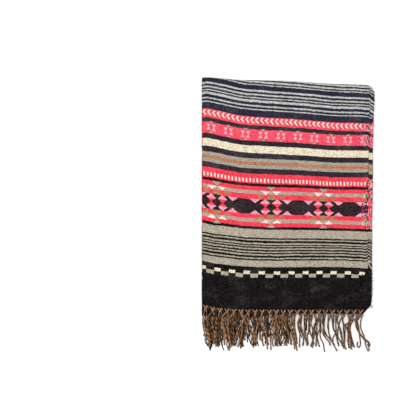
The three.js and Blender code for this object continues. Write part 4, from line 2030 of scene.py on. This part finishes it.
@dataclass(frozen=True)
class Fibre:
    """Pale loose fibre on the cloth: the values of the textures from which it shows, and how much."""

    pick: Pair = (0.55, 0.24)
    streak: Pair = (0.45, 0.22)
    cloud: Pair = (0.52, 0.30)
    clouded: Pair = (3.4, -1.1)
    least: float = 0.35
    band: Pair = (170, 410)
    band_share: float = 0.55

    def share(self, values: dict[str, Term], weave: Term) -> Term:
        """Read how much of the fibre shows.

        Args:
            values: The textures' values.
            weave: Distance from the hem in the pattern.

        Returns:
            The share of its colour.
        """
        parts = (("pick", self.pick), ("streak", self.streak), ("cloud", self.cloud))
        over = {label: (values[label] - start).math("MAXIMUM", 0.0) * weight
                for label, (start, weight) in parts}
        slope, start = self.clouded
        many = (values["cloud"] * slope + start).math("MAXIMUM", self.least)
        many = many + weave.between(*self.band) * self.band_share
        return (over["pick"] + over["streak"]) * many + over["cloud"]


@dataclass(frozen=True)
class JacquardCloth:
    """The woven cloth: weft stripes, bands of small motifs, and the grain of the yarn."""

    uv_span: float = 2000.0
    mirror: float = 480.0
    ramp_reach: float = 80.0
    jog: float = 1.1
    jog_rate: float = 0.9
    jog_layer: float = 7.0
    herringbone: float = 9.0
    twill_period: float = 4.2
    twill_tone: float = 0.06
    twill_height: float = 0.3
    depth: float = 0.84
    rib_rates: Pair = (3.4, 2.6)
    rib_heights: Pair = (0.5, 0.25)
    relief: float = 0.00045
    relief_strength: float = 0.6
    roughness: Pair = (0.16, 0.82)
    sheen: float = 0.02
    sheen_roughness: float = 0.6
    specular: float = 0.03

    def stripe_colour(self, palette: Palette, weave: Term) -> Socket:
        """Read the stripes with a few colour ramps, one after another.

        Args:
            palette: The material's palette.
            weave: Distance from the hem in the pattern.

        Returns:
            The socket that holds the stripe's colour.
        """
        colour: Socket | None = None
        starts = [0.0] + [stop for stop, _ in STRIPES[:-1]]
        begin = 0.0
        while begin < self.mirror:
            end = begin + self.ramp_reach
            node = palette.tree.nodes.new("ShaderNodeValToRGB")
            node.color_ramp.interpolation = "CONSTANT"
            inside = [(max(start, begin), yarn) for start, (stop, yarn) in zip(starts, STRIPES)
                      if stop > begin and start < end]
            elements = node.color_ramp.elements
            while len(elements) < len(inside):
                elements.new(0.5)
            for element, (start, yarn) in zip(elements, inside):
                element.position = (start - begin) / self.ramp_reach
                element.color = (*yarn.value, 1.0)
            palette.tree.links.new(weave.step_from(begin, end).source, node.inputs[0])
            first = colour is None
            colour = node.outputs[0] if first else palette.mix(weave > begin, colour, node.outputs[0])
            begin = end
        return colour

    def make(self, name: str) -> bpy.types.Material:
        """Build the material.

        Args:
            name: Its name.

        Returns:
            The material.
        """
        made, shader, palette = new_finish(name, self.specular, self.sheen, self.sheen_roughness)
        tree = palette.tree
        uv = tree.nodes.new("ShaderNodeUVMap")
        uv.uv_map = "weave"
        split = tree.nodes.new("ShaderNodeSeparateXYZ")
        tree.links.new(uv.outputs[0], split.inputs[0])
        weft = Term(tree, split.outputs[0]) * self.uv_span
        length = Term(tree, split.outputs[1]) * self.uv_span

        middle = FOLD.length / 2
        once = abs(length - middle) * -1.0 + middle
        weave = abs(once - self.mirror) * -1.0 + self.mirror
        values = {label: texture.read(palette, weft, length) for label, texture in TEXTURES.items()}
        selvedges = Selvedges()
        ragged = weighted(values, RAGGEDNESS, selvedges.bend(palette, weft, weave, length))
        jog = palette.speckle(palette.point(self.jog_layer, (weave * self.jog_rate).math("FLOOR")))
        aside = weft + (jog - 0.5) * self.jog

        colour = self.stripe_colour(palette, ragged)
        for rows in (SmallRows(), Medallions(), Hourglasses()):
            colour = rows.draw(palette, colour, aside, ragged)
        colour = selvedges.draw(palette, colour, weft, weave)

        fold = abs((length * (1 / self.herringbone)).repeat(2.0)) * self.herringbone
        twill = ((weft + fold) * (math.tau / self.twill_period)).math("SINE")
        tone = weighted(values, TONES, twill * self.twill_tone + self.depth)
        colour = palette.mix(1.0, colour, palette.point(tone, tone, tone), "MULTIPLY")
        colour = palette.mix(Fibre().share(values, weave), colour, Yarn.LINT.value)
        tree.links.new(colour, shader.inputs["Base Color"])

        height = twill * self.twill_height
        for at, rate, part in zip((length, weft), self.rib_rates, self.rib_heights):
            height = height + (at * rate).math("SINE") * part
        bumped = palette.bump(weighted(values, RELIEF, height), self.relief, self.relief_strength)
        tree.links.new(bumped, shader.inputs["Normal"])
        slope, least = self.roughness
        tree.links.new((values["grain"] * slope + least).source, shader.inputs["Roughness"])
        return made


@dataclass(frozen=True)
class BrownYarn:
    """The twisted yarn of the fringe."""

    # The deep colour is the darkest yarn, and also what the painted shade on the cords' sides falls to.
    deep: Colour = linear(22, 12, 6)
    warm: Colour = linear(196, 143, 101)
    # The colour of the painted highlight on the upward faces of the fan arms near the cloth.
    pale: Colour = linear(226, 182, 146)
    fleck_rate: float = 900.0
    patch_rate: float = 140.0
    tone_share: float = 0.85
    patch_share: float = 0.8
    fleck_share: float = 1.0
    least_light: float = 0.04
    # Facing upwards over which the painted shade on the cords' sides lifts off.
    shade_facing: Pair = (0.3, 0.95)
    # Where along, for which tones and on which upward faces the painted highlight shows, and how strongly.
    root_reach: Pair = (0.014, 0.004)
    root_tone: Pair = (0.05, 0.22)
    highlight_facing: Pair = (0.2, 0.9)
    highlight_share: float = 0.5
    relief: float = 0.0004
    relief_strength: float = 0.6
    roughness: Pair = (0.2, 0.72)
    sheen: float = 0.04
    sheen_roughness: float = 0.55
    specular: float = 0.1

    def make(self, name: str) -> bpy.types.Material:
        """Build the material.

        Args:
            name: Its name.

        Returns:
            The material.
        """
        made, shader, palette = new_finish(name, self.specular, self.sheen, self.sheen_roughness)
        tree = palette.tree
        tone, reach, up = (palette.carried(label) for label in ("tone", "reach", "up"))
        place = tree.nodes.new("ShaderNodeTexCoord").outputs["Object"]
        fleck = palette.noise(place, self.fleck_rate, 3.0)
        patch = palette.noise(place, self.patch_rate, 2.0)
        light = tone * self.tone_share + (patch - 0.5) * self.patch_share
        light = light + (fleck - 0.5) * self.fleck_share + self.least_light
        # Painted shade: faces that turn away from straight up are darkened towards the deep colour.
        light = (light * up.step_from(*self.shade_facing)).math("ADD", 0.0, clamp=True)
        colour = palette.mix(light, self.deep, self.warm)
        # Painted highlight: the fan arms near the cloth turn pale on their upward faces.
        root = reach.step_from(*self.root_reach) * tone.step_from(*self.root_tone)
        root = root * up.step_from(*self.highlight_facing) * self.highlight_share
        tree.links.new(palette.mix(root, colour, self.pale), shader.inputs["Base Color"])
        tree.links.new(palette.bump(fleck, self.relief, self.relief_strength), shader.inputs["Normal"])
        slope, least = self.roughness
        tree.links.new((fleck * slope + least).source, shader.inputs["Roughness"])
        return made


# ------------------------------------------------------------------ the studio


@dataclass(frozen=True)
class Lamp:
    """A square light that faces the middle of the floor."""

    name: str
    spot: tuple[float, float, float]
    size: float
    power: float


@dataclass(frozen=True)
class Studio:
    """A pale floor, soft light from above, and a camera that looks straight down."""

    frame_width: float = 861.1
    lens: float = 85.0
    sensor: float = 36.0
    aim: Pair = (-164.9, 14.7)
    cloth_top: float = 16.0
    floor_size: float = 6.0
    floor_drop: float = 0.0006
    floor_light: float = 0.95
    floor_roughness: float = 0.95
    sky: float = 0.50
    lamps: tuple[Lamp, ...] = (
        Lamp("overhead", (-0.14, 0.02, 2.30), 0.9, 40.0),
        Lamp("window", (-1.3, 1.2, 1.8), 1.4, 12.0),
    )

    def floor(self) -> None:
        """Lay the floor."""
        reach, low = self.floor_size / 2, -self.floor_drop
        corners = np.array([(x * reach, y * reach, low) for x, y in ((-1, -1), (1, -1), (1, 1), (-1, 1))])
        floor = mesh_object("studio_floor", corners, [(0, 1, 2, 3)])
        paint = bpy.data.materials.new("white_floor")
        paint.use_nodes = True
        shader = paint.node_tree.nodes["Principled BSDF"]
        shader.inputs["Base Color"].default_value = (*[self.floor_light] * 3, 1)
        shader.inputs["Roughness"].default_value = self.floor_roughness
        shader.inputs["Specular IOR Level"].default_value = 0.0
        floor.data.materials.append(paint)

    def lights(self) -> None:
        """Hang the lights and set the sky."""
        for lamp in self.lamps:
            light = bpy.data.lights.new(lamp.name, "AREA")
            light.size, light.energy = lamp.size, lamp.power
            hung = bpy.data.objects.new(lamp.name, light)
            hung.location = lamp.spot
            hung.rotation_euler = (-Vector(lamp.spot)).to_track_quat("-Z", "Y").to_euler()
            bpy.context.scene.collection.objects.link(hung)
        world = bpy.data.worlds.new("soft_sky")
        world.use_nodes = True
        background = world.node_tree.nodes["Background"]
        background.inputs[0].default_value = (1, 1, 1, 1)
        background.inputs[1].default_value = self.sky
        bpy.context.scene.world = world
        bpy.context.scene.view_settings.view_transform = "Standard"

    def camera(self) -> None:
        """Set the camera up over the cloth."""
        lens = bpy.data.cameras.new("over_the_cloth")
        lens.lens, lens.sensor_width = self.lens, self.sensor
        camera = bpy.data.objects.new("over_the_cloth", lens)
        height = self.frame_width * self.lens / self.sensor + self.cloth_top
        camera.location = (self.aim[0] * MM, self.aim[1] * MM, height * MM)
        bpy.context.scene.collection.objects.link(camera)
        bpy.context.scene.camera = camera


# ------------------------------------------------------------------ putting it together


def main() -> None:
    """Build the scarf, its fringe and the studio."""
    logging.basicConfig(level=logging.INFO, format="%(name)s: %(message)s")
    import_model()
    place = Placement.on("top_fold")
    yarn = BrownYarn().make("brown_yarn")

    jacquard = JacquardCloth().make("jacquard")
    folded = FoldedCloth()
    cloth = folded.build("scarf_cloth", place)
    cloth.data.materials.append(jacquard)
    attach(cloth, "root")
    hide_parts("top_fold", "inner_folds")
    LOG.info("cloth: %d faces", len(cloth.data.polygons))

    loops = WeftLoops().build("selvedge_loops", folded, place, jacquard)
    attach(loops, "root")
    LOG.info("selvedge loops: %d faces", len(loops.data.polygons))

    fringe = Fringe()
    for node, strands in fringe.lay_all().items():
        world = [((strand - (*place.centre, 0.0, 0.0)) * MM, tone) for strand, tone in strands]
        piece = sweep("cords_" + node, world, yarn, fringe.sides)
        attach(piece, "root")
        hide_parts(node)
        LOG.info("%s: %d strands, %d faces", piece.name, len(strands), len(piece.data.polygons))

    studio = Studio()
    studio.floor()
    studio.lights()
    studio.camera()


if __name__ == "__main__":
    main()
